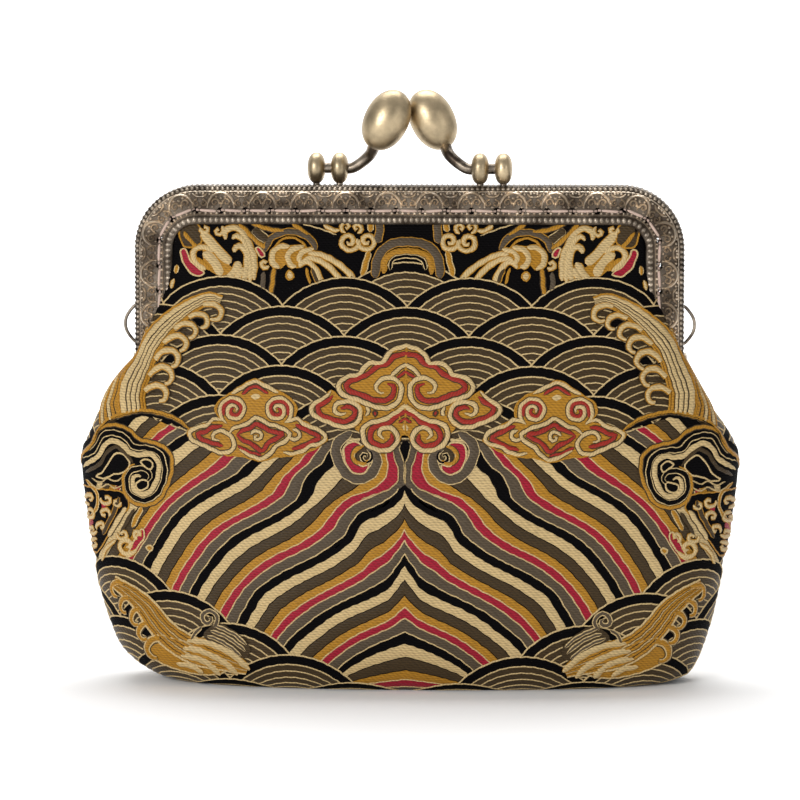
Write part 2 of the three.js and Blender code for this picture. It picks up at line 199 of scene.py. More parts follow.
@functools.lru_cache(maxsize=None)
def silk(key, kind="floss"):
    """Woven silk: floss lies in fine weft ribs, a cord is twisted along its own path"""
    tint = tuple(getattr(bpy.context.scene.purse_colours, key))
    material, nodes, shader = new_material(f"silk_{key}_{kind}")
    cloth = nodes.add("ShaderNodeUVMap", uv_map="cloth").outputs[0]
    path = nodes.add("ShaderNodeUVMap", uv_map="path").outputs[0]
    across = nodes.add("ShaderNodeSeparateXYZ", {0: cloth})
    along = nodes.add("ShaderNodeSeparateXYZ", {0: path})
    noise = nodes.add("ShaderNodeTexNoise", {"Vector": cloth, "Scale": 900.0, "Detail": 3.0}).outputs[0]
    blotch = nodes.add("ShaderNodeTexNoise", {"Vector": cloth, "Scale": 90.0, "Detail": 2.0}).outputs[0]
    if kind == "cord":
        slant = nodes.math("ADD", along.outputs[0], nodes.math("MULTIPLY", along.outputs[1], 0.9))
        height = nodes.math("ABSOLUTE", nodes.wave(slant, CORD_PITCH))
    else:
        wobble = nodes.math("MULTIPLY", noise, WEFT_WOBBLE)
        weft = nodes.wave(nodes.math("ADD", across.outputs[1], wobble), WEFT_PITCH)
        twill = nodes.wave(nodes.math("ADD", across.outputs[0], across.outputs[1]), TWILL_PITCH)
        height = nodes.math("ADD", nodes.math("MULTIPLY", weft, 0.5), nodes.math("MULTIPLY", twill, 0.3))
        height = nodes.math("ADD", height, 0.5)
    # Colour darker in the grooves between the threads and lighter on their tops: painted shade and highlight
    # from the same height as the bump, with random tone from the noise
    shade = nodes.math("MULTIPLY", height, 0.45)
    shade = nodes.math("ADD", shade, nodes.math("MULTIPLY", noise, 0.5))
    shade = nodes.math("ADD", shade, nodes.math("MULTIPLY", blotch, 0.25))
    base = nodes.mix(shade, rgba(tint, 0.5), rgba(tint, 1.3))
    bump = nodes.add("ShaderNodeBump", {"Strength": 0.5, "Distance": 0.12 * MM, "Height": height})
    nodes.put(shader.inputs["Base Color"], base)
    nodes.put(shader.inputs["Normal"], bump.outputs[0])
    shader.inputs["Roughness"].default_value = 0.5 if key != "black" else 0.7
    shader.inputs["Specular IOR Level"].default_value = 0.03 if key == "black" else 0.18
    shader.inputs["Sheen Weight"].default_value = 0.04 if key != "black" else 0.0
    shader.inputs["Sheen Roughness"].default_value = 0.4
    return material


@functools.lru_cache(maxsize=None)
def metal(name, low, high, rough, grain=0.0):
    """Old brass: dark patina, which on the frame's ground is also painted shade, and worn crests, from the
    object's own coordinates
    """
    material, nodes, shader = new_material(name)
    place = nodes.add("ShaderNodeTexCoord").outputs["Object"]
    cloudy = nodes.add("ShaderNodeTexNoise", {"Vector": place, "Scale": 260.0, "Detail": 6.0}).outputs[0]
    fine = nodes.add("ShaderNodeTexNoise", {"Vector": place, "Scale": 2600.0, "Detail": 3.0}).outputs[0]
    ramp = nodes.add("ShaderNodeMapRange", {0: cloudy, 1: 0.35, 2: 0.68}).outputs[0]
    base = nodes.mix(ramp, rgba(low), rgba(high))
    height = fine
    if grain:
        squeeze = nodes.add("ShaderNodeMapping", {"Vector": place, "Scale": (240.0, 900.0, 5200.0)})
        brushed = nodes.add("ShaderNodeTexNoise", {"Vector": squeeze.outputs[0], "Scale": 1.0, "Detail": 4.0})
        height = nodes.math("ADD", height, nodes.math("MULTIPLY", brushed.outputs[0], grain))
    bump = nodes.add("ShaderNodeBump", {"Strength": 0.22, "Distance": 0.05 * MM, "Height": height})
    nodes.put(shader.inputs["Base Color"], base)
    nodes.put(shader.inputs["Normal"], bump.outputs[0])
    spread = nodes.add("ShaderNodeMapRange", {0: fine, 1: 0.3, 2: 0.7, 3: rough - 0.07, 4: rough + 0.1})
    nodes.put(shader.inputs["Roughness"], spread.outputs[0])
    shader.inputs["Metallic"].default_value = 1.0
    return material


def antique():
    settings = bpy.context.scene.purse_metal
    low, high = Vector(settings.patina_and_shade), Vector(settings.worn)
    return {
        # The ground is darkest: patina, and painted shade in the recesses round the raised relief
        "ground": metal("antique_ground", tuple(low), tuple(low.lerp(high, 0.16)), 0.5),
        "crest": metal("antique_crest", tuple(low.lerp(high, 0.5)), tuple(high), 0.36),
        "beads": metal("antique_beads", tuple(low.lerp(high, 0.2)), tuple(low.lerp(high, 0.72)), 0.44),
        "knob": metal("brushed_knob", tuple(Vector(settings.knob) * 0.6), tuple(settings.knob), 0.4, 2.5),
        "rod": metal("dark_rod", tuple(low), tuple(low.lerp(high, 0.5)), 0.36),
    }


# The cloth's surface. Rows go from the base to the hips and on to the foot of the frame. up is a
# share of the foot's height, wide and deep are shares of the half width and half depth, and side
# is how far the side is held open, as a share of the frame's depth.
BODY_ROWS = [
    {"up": 0.0, "left": 0.6, "right": 0.64, "deep": 0.58, "side": 0.05},
    {"up": 0.011, "left": 0.75, "right": 0.825, "deep": 0.73, "side": 0.05},
    {"up": 0.044, "left": 0.811, "right": 0.867, "deep": 0.815, "side": 0.05},
    {"up": 0.09, "left": 0.867, "right": 0.885, "deep": 0.875, "side": 0.05},
    {"up": 0.136, "left": 0.894, "right": 0.903, "deep": 0.917, "side": 0.05},
    {"up": 0.23, "left": 0.924, "right": 0.928, "deep": 0.967, "side": 0.05},
    {"up": 0.323, "left": 0.949, "right": 0.946, "deep": 0.992, "side": 0.05},
    {"up": 0.51, "left": 0.974, "right": 0.976, "deep": 1.0, "side": 0.05},
    {"up": 0.64, "left": 0.992, "right": 0.992, "deep": 0.982, "side": 0.05},
    {"up": 0.742, "left": 1.0, "right": 1.0, "deep": 0.954, "side": 0.1},
]

# The shoulders. left and right are shares of the way from the frame's side out to the hips.
SHOULDER_ROWS = [
    {"up": 0.788, "left": 0.94, "right": 0.95, "deep": 0.933, "side": 0.22},
    {"up": 0.836, "left": 0.8, "right": 0.785, "deep": 0.908, "side": 0.38},
    {"up": 0.883, "left": 0.69, "right": 0.57, "deep": 0.879, "side": 0.55},
    {"up": 0.93, "left": 0.57, "right": 0.4, "deep": 0.846, "side": 0.75},
    {"up": 0.977, "left": 0.4, "right": 0.233, "deep": 0.808, "side": 0.92},
    {"up": 1.0, "left": 0.275, "right": 0.133, "deep": 0.788, "side": 1.0},
]

# The mouth. up is a share of the way from the foot to the top band, over is how far the cloth puffs
# out over the leg, and deep is the share of the foot's depth that is left.
MOUTH_ROWS = [
    {"up": 0.12, "over": 0.96, "deep": 0.9},
    {"up": 0.27, "over": 0.7, "deep": 0.765},
    {"up": 0.42, "over": 0.43, "deep": 0.615},
    {"up": 0.6, "over": 0.16, "deep": 0.44},
    {"up": 0.78, "over": 0.05, "deep": 0.27},
    {"up": 0.92, "over": 0.05, "deep": 0.13},
    {"up": 1.04, "over": 0.05, "deep": 0.03},
    {"up": 1.15, "over": 0.05, "deep": 0.0},
]

# How square the bag's sections are; 2 would be an ellipse
SECTION_POWER = 2.35

# Half of the room left between the panels at their seam
SEAM = 0.004 * MM

# Waves of the surface: how deep they are, how long, and where a shoulder's fold has its middle
GATHER = {"depth": 0.22 * MM, "pitch": 12.5 * MM, "reach": 30 * MM}
FOLD = {"depth": 0.55 * MM, "pitch": 19 * MM, "u": 58 * MM, "v": 66 * MM, "wide": 9 * MM, "high": 14 * MM}
SLACK = {"depth": 0.35 * MM, "across": 17 * MM, "up": 21 * MM, "start": -2 * MM, "fade": 12 * MM}


class Cloth:
    """The front of the bag. u runs across from the middle and v up from the front's lower edge,
    both measured along the cloth. Past the side seam and under the base it goes on to be cut."""

    step = 0.5 * MM
    profile_steps = 900
    blur = 22
    section_steps = 260

    # The room left in the channel, the length hidden in it, half the width that is worked, and the length
    # under the base
    play = 0.3 * MM
    tuck = 3.1 * MM
    reach = 96 * MM
    under = 15 * MM

    # A place on the chart is found by looking again from a first depth
    first_near = 20 * MM
    looks = 8

    def __init__(self, metal_settings):
        face = metal_settings.face - metal_settings.sheet - self.play
        band = metal_settings.band
        top = FRAME_TOP - band
        out = HALF_WIDTH - FRAME_HALF
        rows = [
            (r["up"] * FRAME_FOOT, r["left"] * HALF_WIDTH, r["right"] * HALF_WIDTH,
             r["deep"] * HALF_DEPTH, r["side"] * face)
            for r in BODY_ROWS
        ]
        rows += [
            (r["up"] * FRAME_FOOT, FRAME_HALF + r["left"] * out, FRAME_HALF + r["right"] * out,
             r["deep"] * HALF_DEPTH, r["side"] * face)
            for r in SHOULDER_ROWS
        ]
        foot_deep = rows[-1][3]
        for r in MOUTH_ROWS:
            wide = FRAME_HALF - band + r["over"] * band
            rows.append((FRAME_FOOT + r["up"] * (top - FRAME_FOOT), wide, wide,
                         face + r["deep"] * (foot_deep - face), face))
        self.rows = self.smooth(np.array(rows))
        steps = np.hypot(np.diff(self.rows[:, 0]), np.diff(self.rows[:, 3]))
        self.rise = np.concatenate([[0], np.cumsum(steps)])
        self.v_top = self.rise[-1]
        self.build()

    def smooth(self, rows):
        """Even steps along the profile, with the corners between rows rounded"""
        steps = np.hypot(np.diff(rows[:, 0]), np.diff(rows[:, 3]))
        along = np.concatenate([[0], np.cumsum(steps)])
        even = np.linspace(0, along[-1], self.profile_steps)
        dense = np.stack([np.interp(even, along, column) for column in rows.T], axis=1)
        kernel = np.hanning(2 * self.blur + 3)[1:-1]
        kernel /= kernel.sum()
        padded = np.pad(dense, ((self.blur, self.blur), (0, 0)), mode="reflect", reflect_type="odd")
        return np.stack([np.convolve(c, kernel, mode="valid") for c in padded.T], axis=1)

    def row_at_v(self, v):
        return [np.interp(v, self.rise, column) for column in self.rows.T]

    def half_section(self, wide, deep, side):
        turn = np.linspace(0, math.pi / 2, self.section_steps)
        x = wide * np.sin(turn) ** (2 / SECTION_POWER)
        y = side + (deep - side) * np.cos(turn) ** (2 / SECTION_POWER)
        along = np.concatenate([[0], np.cumsum(np.hypot(np.diff(x), np.diff(y)))])
        return x, y, along

    def build(self):
        self.us = np.arange(-self.reach, self.reach + self.step / 2, self.step)
        self.vs = np.arange(-self.under, self.v_top + self.step / 2, self.step)
        self.points = np.zeros((len(self.vs), len(self.us), 3))
        self.seam = np.zeros((len(self.vs), 2))
        for i, v in enumerate(self.vs):
            z, left, right, deep, side = self.row_at_v(max(v, 0))
            for sign, wide in ((-1, left), (1, right)):
                x, y, along = self.half_section(wide, deep, side)
                mask = self.us * sign >= 0
                u = self.us[mask] * sign
                past = np.maximum(0, u - along[-1])
                depth = np.interp(u, along, y) - past
                if v < 0:
                    depth = depth + v
                self.points[i, mask] = np.stack(
                    [sign * np.interp(u, along, x), -depth, np.full_like(u, z)], axis=1
                )
                self.seam[i, int(sign > 0)] = along[-1]
        self.normals = self.find_normals()
        self.points += self.normals * self.dents()[..., None]
        self.normals = self.find_normals()

    def dents(self):
        """Gathers below the sewn edge, soft folds at the shoulders and a little slackness"""
        u, v = np.meshgrid(self.us, self.vs)
        down = (self.v_top - self.tuck - v) / GATHER["reach"]
        gather = np.exp(-((down - 0.3) / 0.35) ** 2) * np.cos(2 * math.pi * u / GATHER["pitch"] + 0.6)
        aside = (abs(u) - FOLD["u"]) / FOLD["wide"]
        above = (v - FOLD["v"]) / FOLD["high"]
        shoulder = np.exp(-(above ** 2 + aside ** 2))
        fold = np.cos(2 * math.pi * (abs(u) * 0.8 - v) / FOLD["pitch"])
        slack = np.sin(u / SLACK["across"] + 1.1) * np.sin(v / SLACK["up"] + 0.4)
        away = np.clip((v - SLACK["start"]) / SLACK["fade"], 0, 1)
        return GATHER["depth"] * gather + FOLD["depth"] * shoulder * fold + SLACK["depth"] * slack * away

    def find_normals(self):
        across = np.gradient(self.points, axis=1)
        upward = np.gradient(self.points, axis=0)
        normal = np.cross(across, upward)
        size = np.linalg.norm(normal, axis=2, keepdims=True)
        return normal / np.maximum(size, 1e-12)

    def place(self, u, v, lift):
        """World points for places on the cloth"""
        i = np.clip((v - self.vs[0]) / self.step, 0, len(self.vs) - 1.001)
        j = np.clip((u - self.us[0]) / self.step, 0, len(self.us) - 1.001)
        i0, j0 = i.astype(int), j.astype(int)
        fi, fj = (i - i0)[:, None], (j - j0)[:, None]

        def blend(grid):
            low = grid[i0, j0] * (1 - fj) + grid[i0, j0 + 1] * fj
            high = grid[i0 + 1, j0] * (1 - fj) + grid[i0 + 1, j0 + 1] * fj
            return low * (1 - fi) + high * fi

        return blend(self.points) + blend(self.normals) * lift[:, None]

    def from_chart(self, chart):
        """Places on the cloth for places on the chart, as the camera's distance shows them"""
        stage = bpy.context.scene.purse_stage
        chart = np.asarray(chart, float)
        right, up, away = view_axes(stage)
        span = (stage.camera_distance - CHART_DEPTH) / CHART_SQUARE
        across = (chart[:, 0] - CHART_SIZE / 2) / span
        height = (CHART_SIZE / 2 - chart[:, 1]) / span
        near = np.full(len(chart), self.first_near)
        for _ in range(self.looks):
            reach = stage.camera_distance - near
            sight = np.outer(across * reach, right) + np.outer(height * reach, up) + np.outer(near, away)
            x, y, z = (sight + AIM).T
            wide = np.where(x < 0, np.interp(z, self.rows[:, 0], self.rows[:, 1]),
                            np.interp(z, self.rows[:, 0], self.rows[:, 2]))
            full = np.interp(z, self.rows[:, 0], self.rows[:, 3])
            side = np.interp(z, self.rows[:, 0], self.rows[:, 4])
            inner = np.clip(1 - (abs(x) / wide) ** SECTION_POWER, 0, 1)
            near = near + side + (full - side) * inner ** (1 / SECTION_POWER) + y
        places = []
        for i in range(len(chart)):
            v = np.interp(z[i], self.rows[:, 0], self.rise)
            _, left, right, full, side = self.row_at_v(v)
            xs, _, along = self.half_section(left if x[i] < 0 else right, full, side)
            past = max(0, abs(x[i]) - xs[-1]) * 2
            places.append((math.copysign(np.interp(abs(x[i]), xs, along) + past, x[i]), v))
        return np.array(places)


# The motifs are drawn on a chart of small squares, columns from the left and rows from the top, laid
# over the front as the camera sees it. CHART_MIDDLE is the mirror line's column, CHART_DEPTH is how far
# before the middle plane a square has its size, AIM is the point that the camera looks at, and OVERLAP
# is how far a figure on the mirror line goes past it.
CHART_SQUARE = 0.2188 * MM
CHART_SIZE = 800
CHART_MIDDLE = 405
CHART_DEPTH = 5 * MM
TOP_FAN_ROW = 278
LOWER_FAN_APEX = (117, 556)
AIM = (-2.1 * MM, 0, 61.8 * MM)
OVERLAP = 0.06 * MM


def view_axes(stage):
    """The camera's right, up and backward directions"""
    azimuth, elevation = stage.camera_azimuth, stage.camera_elevation
    right = np.array((math.cos(azimuth), math.sin(azimuth), 0))
    away = np.array((math.sin(azimuth) * math.cos(elevation), -math.cos(azimuth) * math.cos(elevation),
                     math.sin(elevation)))
    return right, np.cross(away, right), away


@functools.lru_cache(maxsize=None)
def cloth():
    return Cloth(bpy.context.scene.purse_metal)


def on_chart(points):
    """Places on the cloth for places on the chart; the mirror line's own lie a little past it"""
    places = cloth().from_chart(points)
    places[[point[0] == CHART_MIDDLE for point in points], 0] = OVERLAP
    return places


def smooth_path(points, step=0.8 * MM, closed=False, span_steps=14):
    """A smooth curve through the points, in even steps"""
    points = np.asarray(points, float)
    if closed:
        ring = np.vstack([points[-1], points, points[0], points[1]])
    else:
        ring = np.vstack([2 * points[0] - points[1], points, 2 * points[-1] - points[-2]])
    share = np.linspace(0, 1, span_steps, endpoint=False)[:, None]
    parts = []
    for a, b, c, d in zip(ring[:-3], ring[1:-2], ring[2:-1], ring[3:]):
        parts.append(0.5 * (2 * b + (c - a) * share + (2 * a - 5 * b + 4 * c - d) * share ** 2
                            + (3 * b - a - 3 * c + d) * share ** 3))
    dense = np.vstack(parts + [ring[-2][None]])
    return even_path(dense, step)


def even_path(dense, step):
    along = np.concatenate([[0], np.cumsum(np.linalg.norm(np.diff(dense, axis=0), axis=1))])
    count = max(3, int(math.ceil(along[-1] / step)) + 1)
    even = np.linspace(0, along[-1], count)
    return np.stack([np.interp(even, along, column) for column in dense.T], axis=1)


def sideways(path):
    """Unit vectors to the left of a path"""
    ahead = np.gradient(path, axis=0)
    ahead /= np.maximum(np.linalg.norm(ahead, axis=1, keepdims=True), 1e-12)
    return np.stack([-ahead[:, 1], ahead[:, 0]], axis=1)


def curl_path(start, heading, length, turn, steps=26, tighten=1.6):
    """A path that starts along heading and winds up more and more, in degrees"""
    share = np.linspace(0, 1, steps)
    angle = np.radians(heading + turn * share ** tighten)
    stride = length / (steps - 1)
    moves = np.stack([np.cos(angle), np.sin(angle)], axis=1) * stride
    return np.asarray(start, float) + np.concatenate([[[0, 0]], np.cumsum(moves[:-1], axis=0)])


def spiral_path(centre, radius, start, turns, shrink=0.12, steps=40):
    """A path that winds into its centre, from an angle in degrees"""
    share = np.linspace(0, 1, steps)
    angle = np.radians(start) + turns * 2 * math.pi * share
    reach = radius * (1 - (1 - shrink) * share)
    return np.asarray(centre, float) + np.stack([np.cos(angle), np.sin(angle)], axis=1) * reach[:, None]


class Needlework:
    """Collects figures in a surface's places and heights, and makes one mesh of them"""

    def __init__(self, surface=None):
        self.surface = surface or cloth()
        self.places, self.faces, self.inks, self.paths = [], [], [], []
        self.count = 0
        self.materials = []
        self.discs = []

    def ink(self, key, kind):
        if (key, kind) not in self.materials:
            self.materials.append((key, kind))
        return self.materials.index((key, kind))

    def put(self, u, v, lift, faces, key, kind, along=None, across=None, mirror=True):
        along = u if along is None else along
        across = v if across is None else across
        middle = np.stack([u, v], axis=1)[faces].mean(axis=1)
        for centre, radius in self.discs:
            shown = np.hypot(*(middle - centre).T) > radius
            faces, middle = faces[shown], middle[shown]
        for sign in ((1, -1) if mirror else (1,)):
            turned = np.stack([u * sign, v, lift], axis=1)
            corners = turned[faces][..., :2]
            edge_a = corners[:, 1] - corners[:, 0]
            edge_b = corners[:, 2] - corners[:, 0]
            flip = edge_a[:, 0] * edge_b[:, 1] - edge_a[:, 1] * edge_b[:, 0] < 0
            ordered = np.where(flip[:, None], faces[:, ::-1], faces)
            self.places.append(turned)
            self.paths.append(np.stack([along, across], axis=1))
            self.faces += (ordered + self.count).tolist()
            self.inks += [self.ink(key, kind)] * len(faces)
            self.count += len(u)

    def grid(self, u, v, lift, key, kind="floss", along=None, across=None, mirror=True):
        rows, columns = u.shape
        index = np.arange(rows * columns).reshape(rows, columns)
        faces = np.stack([index[:-1, :-1], index[:-1, 1:], index[1:, 1:], index[1:, :-1]], axis=-1)
        flat = [None if a is None else np.asarray(a).ravel() for a in (along, across)]
        self.put(u.ravel(), v.ravel(), lift.ravel(), faces.reshape(-1, 4), key, kind, *flat, mirror)

    def ribbon(self, path, width, key, lift=0.0, crown=0.0, kind="cord", mirror=True, taper=None, lanes=5):
        """A strip along a path, raised in its middle"""
        share = np.linspace(0, 1, len(path))
        half = width / 2 * (np.ones(len(path)) if taper is None else np.interp(share, *taper))
        side = sideways(path)
        cross = np.linspace(-1, 1, lanes)
        u = path[:, :1] + side[:, :1] * half[:, None] * cross
        v = path[:, 1:] + side[:, 1:] * half[:, None] * cross
        height = lift + crown * (1 - cross ** 2) * np.sqrt(half / half.max())[:, None]
        steps = np.linalg.norm(np.diff(path, axis=0), axis=1)
        along = np.repeat(np.concatenate([[0], np.cumsum(steps)])[:, None], lanes, axis=1)
        self.grid(u, v, height, key, kind, along, half[:, None] * cross, mirror)

    def fill(self, outline, key, lift, spacing=1.6 * MM):
        """A flat figure inside an outline"""
        low, high = outline.min(axis=0), outline.max(axis=0)
        grid = np.stack(np.meshgrid(np.arange(low[0], high[0], spacing),
                                    np.arange(low[1], high[1], spacing)), axis=-1).reshape(-1, 2)
        inner = grid[inside(grid, outline)]
        points = np.vstack([outline, inner]) / MM
        edges = [(i, (i + 1) % len(outline)) for i in range(len(outline))]
        made = delaunay_2d_cdt([Vector(p) for p in points], edges, [], 1, 1e-5)
        places = np.array([tuple(p) for p in made[0]]) * MM
        faces = np.array([f for f in made[2] if len(f) == 3])
        self.put(places[:, 0], places[:, 1], np.full(len(places), lift), faces, key, "floss")

    def mesh(self, name, slot="brocade", back=False):
        """The piece, cut off at the seams between the two panels"""
        places = np.vstack(self.places)
        points = self.surface.place(*uneven(places[:, 0], places[:, 1]), places[:, 2])
        faces = self.faces
        if back:
            points = points * np.array([1, -1, 1])
            faces = [face[::-1] for face in faces]
        piece = make_object(name, points, faces, [silk(*ink) for ink in self.materials], self.inks)
        set_uv(piece, "cloth", places[:, :2])
        set_uv(piece, "path", np.vstack(self.paths))
        cut_at_seam(piece, back)
        shade(piece, 60)
        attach(piece, "root")
        return piece

    def both_sides(self, name):
        for side, back in SIDES:
            self.mesh(f"{name}_{side}", back=back)

    def dome(self, centre, radius, lift, crown, key, kind):
        """A round boss"""
        angle = np.linspace(0, 2 * math.pi, 11)
        rise = np.radians([0, 35, 65, 89])[:, None]
        u = centre[0] + radius * np.cos(rise) * np.cos(angle)
        v = centre[1] + radius * np.cos(rise) * np.sin(angle)
        height = np.broadcast_to(lift + crown * np.sin(rise), u.shape)
        self.grid(u, v, height, key, kind, mirror=False)

    def relief(self, name):
        """A metal piece of what was collected"""
        places = np.vstack(self.places)
        points = self.surface.place(places[:, 0], places[:, 1], places[:, 2])
        faces = [face[::-1] for face in self.faces]
        return make_object(name, points, faces, [antique()[key] for key, _ in self.materials], self.inks)


def uneven(u, v):
    """The places a little off, as the woven threads step"""
    drift, sway = 0.075 * MM, 0.6
    u_turn = 2 * math.pi * (v / (2.9 * MM) + sway * np.sin(u / (4.3 * MM)))
    v_turn = 2 * math.pi * (u / (2.3 * MM) + sway * np.sin(v / (3.7 * MM)))
    return u + drift * np.sin(u_turn), v + drift * np.sin(v_turn)


def inside(points, outline):
    """Which points lie inside a closed outline"""
    x, y = points[:, 0], points[:, 1]
    hit = np.zeros(len(points), bool)
    for (x0, y0), (x1, y1) in zip(outline, np.roll(outline, -1, axis=0)):
        crosses = (y0 > y) != (y1 > y)
        with np.errstate(divide="ignore", invalid="ignore"):
            hit ^= crosses & (x < (x1 - x0) * (y - y0) / (y1 - y0) + x0)
    return hit


# Meshes

def add_object(name, data):
    piece = bpy.data.objects.new(name, data)
    bpy.context.scene.collection.objects.link(piece)
    return piece


def make_object(name, points, faces, materials, material_index=None):
    mesh = bpy.data.meshes.new(name)
    mesh.from_pydata([tuple(p) for p in points], [], [tuple(f) for f in faces])
    for material in materials:
        mesh.materials.append(material)
    if material_index is not None:
        mesh.polygons.foreach_set("material_index", np.asarray(material_index, dtype=np.int32))
    return add_object(name, mesh)


def set_uv(piece, name, values):
    layer = piece.data.uv_layers.new(name=name)
    corner = np.empty(len(piece.data.loops), dtype=np.int32)
    piece.data.loops.foreach_get("vertex_index", corner)
    layer.uv.foreach_set("vector", np.asarray(values, dtype=np.float32)[corner].ravel())


def cut_at_seam(piece, back):
    """Removes what lies past the plane between the panels"""
    bm = bmesh.new()
    bm.from_mesh(piece.data)
    side = 1 if back else -1
    bmesh.ops.bisect_plane(
        bm, geom=bm.verts[:] + bm.edges[:] + bm.faces[:], dist=1e-7,
        plane_co=(0, side * SEAM, 0), plane_no=(0, -side, 0), clear_outer=True,
    )
    bm.to_mesh(piece.data)
    bm.free()


def shade(piece, angle=30):
    piece.data.polygons.foreach_set("use_smooth", [True] * len(piece.data.polygons))
    piece.data.set_sharp_from_angle(angle=math.radians(angle))


# How high each kind of figure lies over the bare cloth
LAYERS = {
    "strip": 0.02 * MM,
    "fans": 0.12 * MM,
    "stripes": 0.3 * MM,
    "wave": 0.46 * MM,
    "cloud": 0.48 * MM,
    "lower_fans": 0.44 * MM,
    "lower_crest": 0.62 * MM,
}


# The wave fans

# The upper rows are whole down to the clouds. Below them only the columns outside the stripes go on.
UPPER_ROWS = 14
WHOLE_ROWS = 7
LOWER_ROWS = 8
FAN_COLUMNS = 5
STRIPES_HALF = 50 * MM
UPPER_REACH = 100 * MM
LOWER_REACH = 92 * MM
FIRST_DROP = 3.6 * MM


def fan(work, apex, lift=0.0, mirror=True, lines=9, drop=None):
    """One fan: a black border and fine arcs, where the next row's two fans leave it in sight"""
    size = bpy.context.scene.purse_cloth
    radius, pitch, drop = size.fan_radius, size.fan_pitch, drop or size.fan_drop
    centre = np.array(apex) - (0, radius)
    turn = np.radians(np.linspace(0, 88, 177))

    def reach(r):
        across = r * np.sin(turn) - pitch / 2
        up = r * np.cos(turn) + drop
        hidden = np.hypot(across, up) < radius
        return turn[np.argmax(hidden)] if hidden.any() else turn[-1]

    def sector(inner, outer, bands, columns, key, height):
        radii = np.linspace(inner, outer, bands)
        ends = np.array([reach(r) for r in radii])
        angle = ends[:, None] * np.linspace(-1, 1, columns)
        u = centre[0] + radii[:, None] * np.sin(angle)
        v = centre[1] + radii[:, None] * np.cos(angle)
        work.grid(u, v, np.full_like(u, height), key, mirror=mirror)

    def arc(r, width, crown, key="cream"):
        end = reach(r)
        if end < 0.08:
            return
        angle = np.linspace(-end, end, max(6, int(2 * end * r / (1.0 * MM))))
        path = centre + np.stack([np.sin(angle), np.cos(angle)], axis=1) * r
        work.ribbon(path, width, key, lift, crown, mirror=mirror, lanes=4)

    border = radius - size.fan_band
    lowest = math.sqrt(max(0, radius ** 2 - (pitch / 2) ** 2)) - drop
    sector(border, radius, 4, 40, "black", lift + 0.03 * MM)
    sector(max(lowest, 2 * MM), border, 9, 26, "brown", lift + 0.03 * MM)
    arc(radius, size.line_width, size.relief * 0.9)
    for k in range(lines):
        r = border - k * size.fan_line
        arc(r, size.line_width * (0.9 if k else 1.0), size.relief * 0.7)


def upper_fans(work):
    """Rows of fans from the top strip down to the clouds"""
    size = bpy.context.scene.purse_cloth
    top = on_chart([(CHART_MIDDLE, TOP_FAN_ROW)])[0, 1]
    fan(work, (0, top + FIRST_DROP), LAYERS["fans"], mirror=False, drop=FIRST_DROP)
    for row in range(UPPER_ROWS):
        v = top - row * size.fan_drop
        for column in range(FAN_COLUMNS):
            u = (column + (0.5 if row % 2 == 0 else 0)) * size.fan_pitch
            if u > UPPER_REACH or (row >= WHOLE_ROWS and u < STRIPES_HALF):
                continue
            fan(work, (-u, v), LAYERS["fans"], mirror=u > 0)


def lower_fans(work, lift):
    """Fans at the bottom, stepping down towards the middle"""
    size = bpy.context.scene.purse_cloth
    outer = on_chart([LOWER_FAN_APEX])[0]
    half_pitch = size.fan_pitch / 2
    middle = 0.3 * half_pitch
    for row in range(LOWER_ROWS):
        v = outer[1] - row * size.fan_drop
        first = outer[0] + row * half_pitch
        for column in range(FAN_COLUMNS):
            u = first - column * size.fan_pitch
            if abs(u) < middle:
                fan(work, (0, v), lift, mirror=False)
            elif -LOWER_REACH < u < 0:
                fan(work, (u, v), lift)


# The water stripes. Each guide follows the middle of a black stripe, or a line at a share of the
# way to the next one, from the clouds down to the lower fans.
LONG_FOLD = [(400, 495), (388, 504), (375, 511), (364, 515), (356, 525), (351, 536), (340, 545), (326, 555),
             (307, 565), (288, 574), (271, 584), (259, 593), (251, 607), (243, 621), (238, 636)]
GUIDES = [
    (-2.0, [(138, 412), (128, 421), (120, 430), (112, 440), (104, 455), (98, 470), (95, 490), (95, 510),
            (90, 545)]),
    (-1.0, [(192, 434), (178, 443), (168, 450), (155, 462), (142, 478), (130, 494), (124, 506), (116, 520),
            (107, 536), (98, 556)]),
    (0.0, [(272, 453), (255, 463), (243, 475), (220, 487), (205, 495), (190, 505), (178, 516), (167, 531),
           (158, 546), (149, 562), (144, 574)]),
    (1.0, [(342, 440), (333, 454), (327, 464), (314, 474), (308, 486), (304, 499), (289, 511), (275, 519),
           (254, 529), (238, 538), (222, 552), (211, 566), (201, 580), (192, 597), (186, 612)]),
    (1.6, [(386, 436), (386, 452), (388, 468), (383, 481), (368, 491), (350, 497), (335, 510), (320, 529),
           (298, 544), (275, 555), (255, 568), (238, 585), (228, 598), (219, 614), (213, 628)]),
    (2.0, [(405, 444), (405, 466), (405, 482), *LONG_FOLD]),
    (2.0, [(405, 484), *LONG_FOLD]),
    (3.0, [(405, 559), (397, 571), (388, 584), (367, 595), (346, 604), (326, 615), (309, 628), (295, 639),
           (284, 652)]),
    (4.0, [(405, 637), (388, 643), (370, 651), (353, 661), (342, 670)]),
    (5.0, [(405, 690), (388, 693), (370, 697), (353, 702), (342, 706)]),
]

# The stripes of one period, each to a share of the way from one black stripe to the next
STRIPES = [
    {"key": "black", "start": -0.08, "end": 0.08},
    {"key": "cream", "start": 0.08, "end": 0.26},
    {"key": "brown", "start": 0.26, "end": 0.45},
    {"key": "gold", "start": 0.45, "end": 0.6},
    {"key": "crimson", "start": 0.6, "end": 0.74},
    {"key": "grey", "start": 0.74, "end": 0.92},
]
STRIPE_LINES = [0.6, 0.74, 0.92]
STRIPE_SHADOWS = [0.26, 0.45]
STRIPE_PERIODS = range(-2, 5)
STRIPE_STEPS = 90
STRIPE_LANES = 5


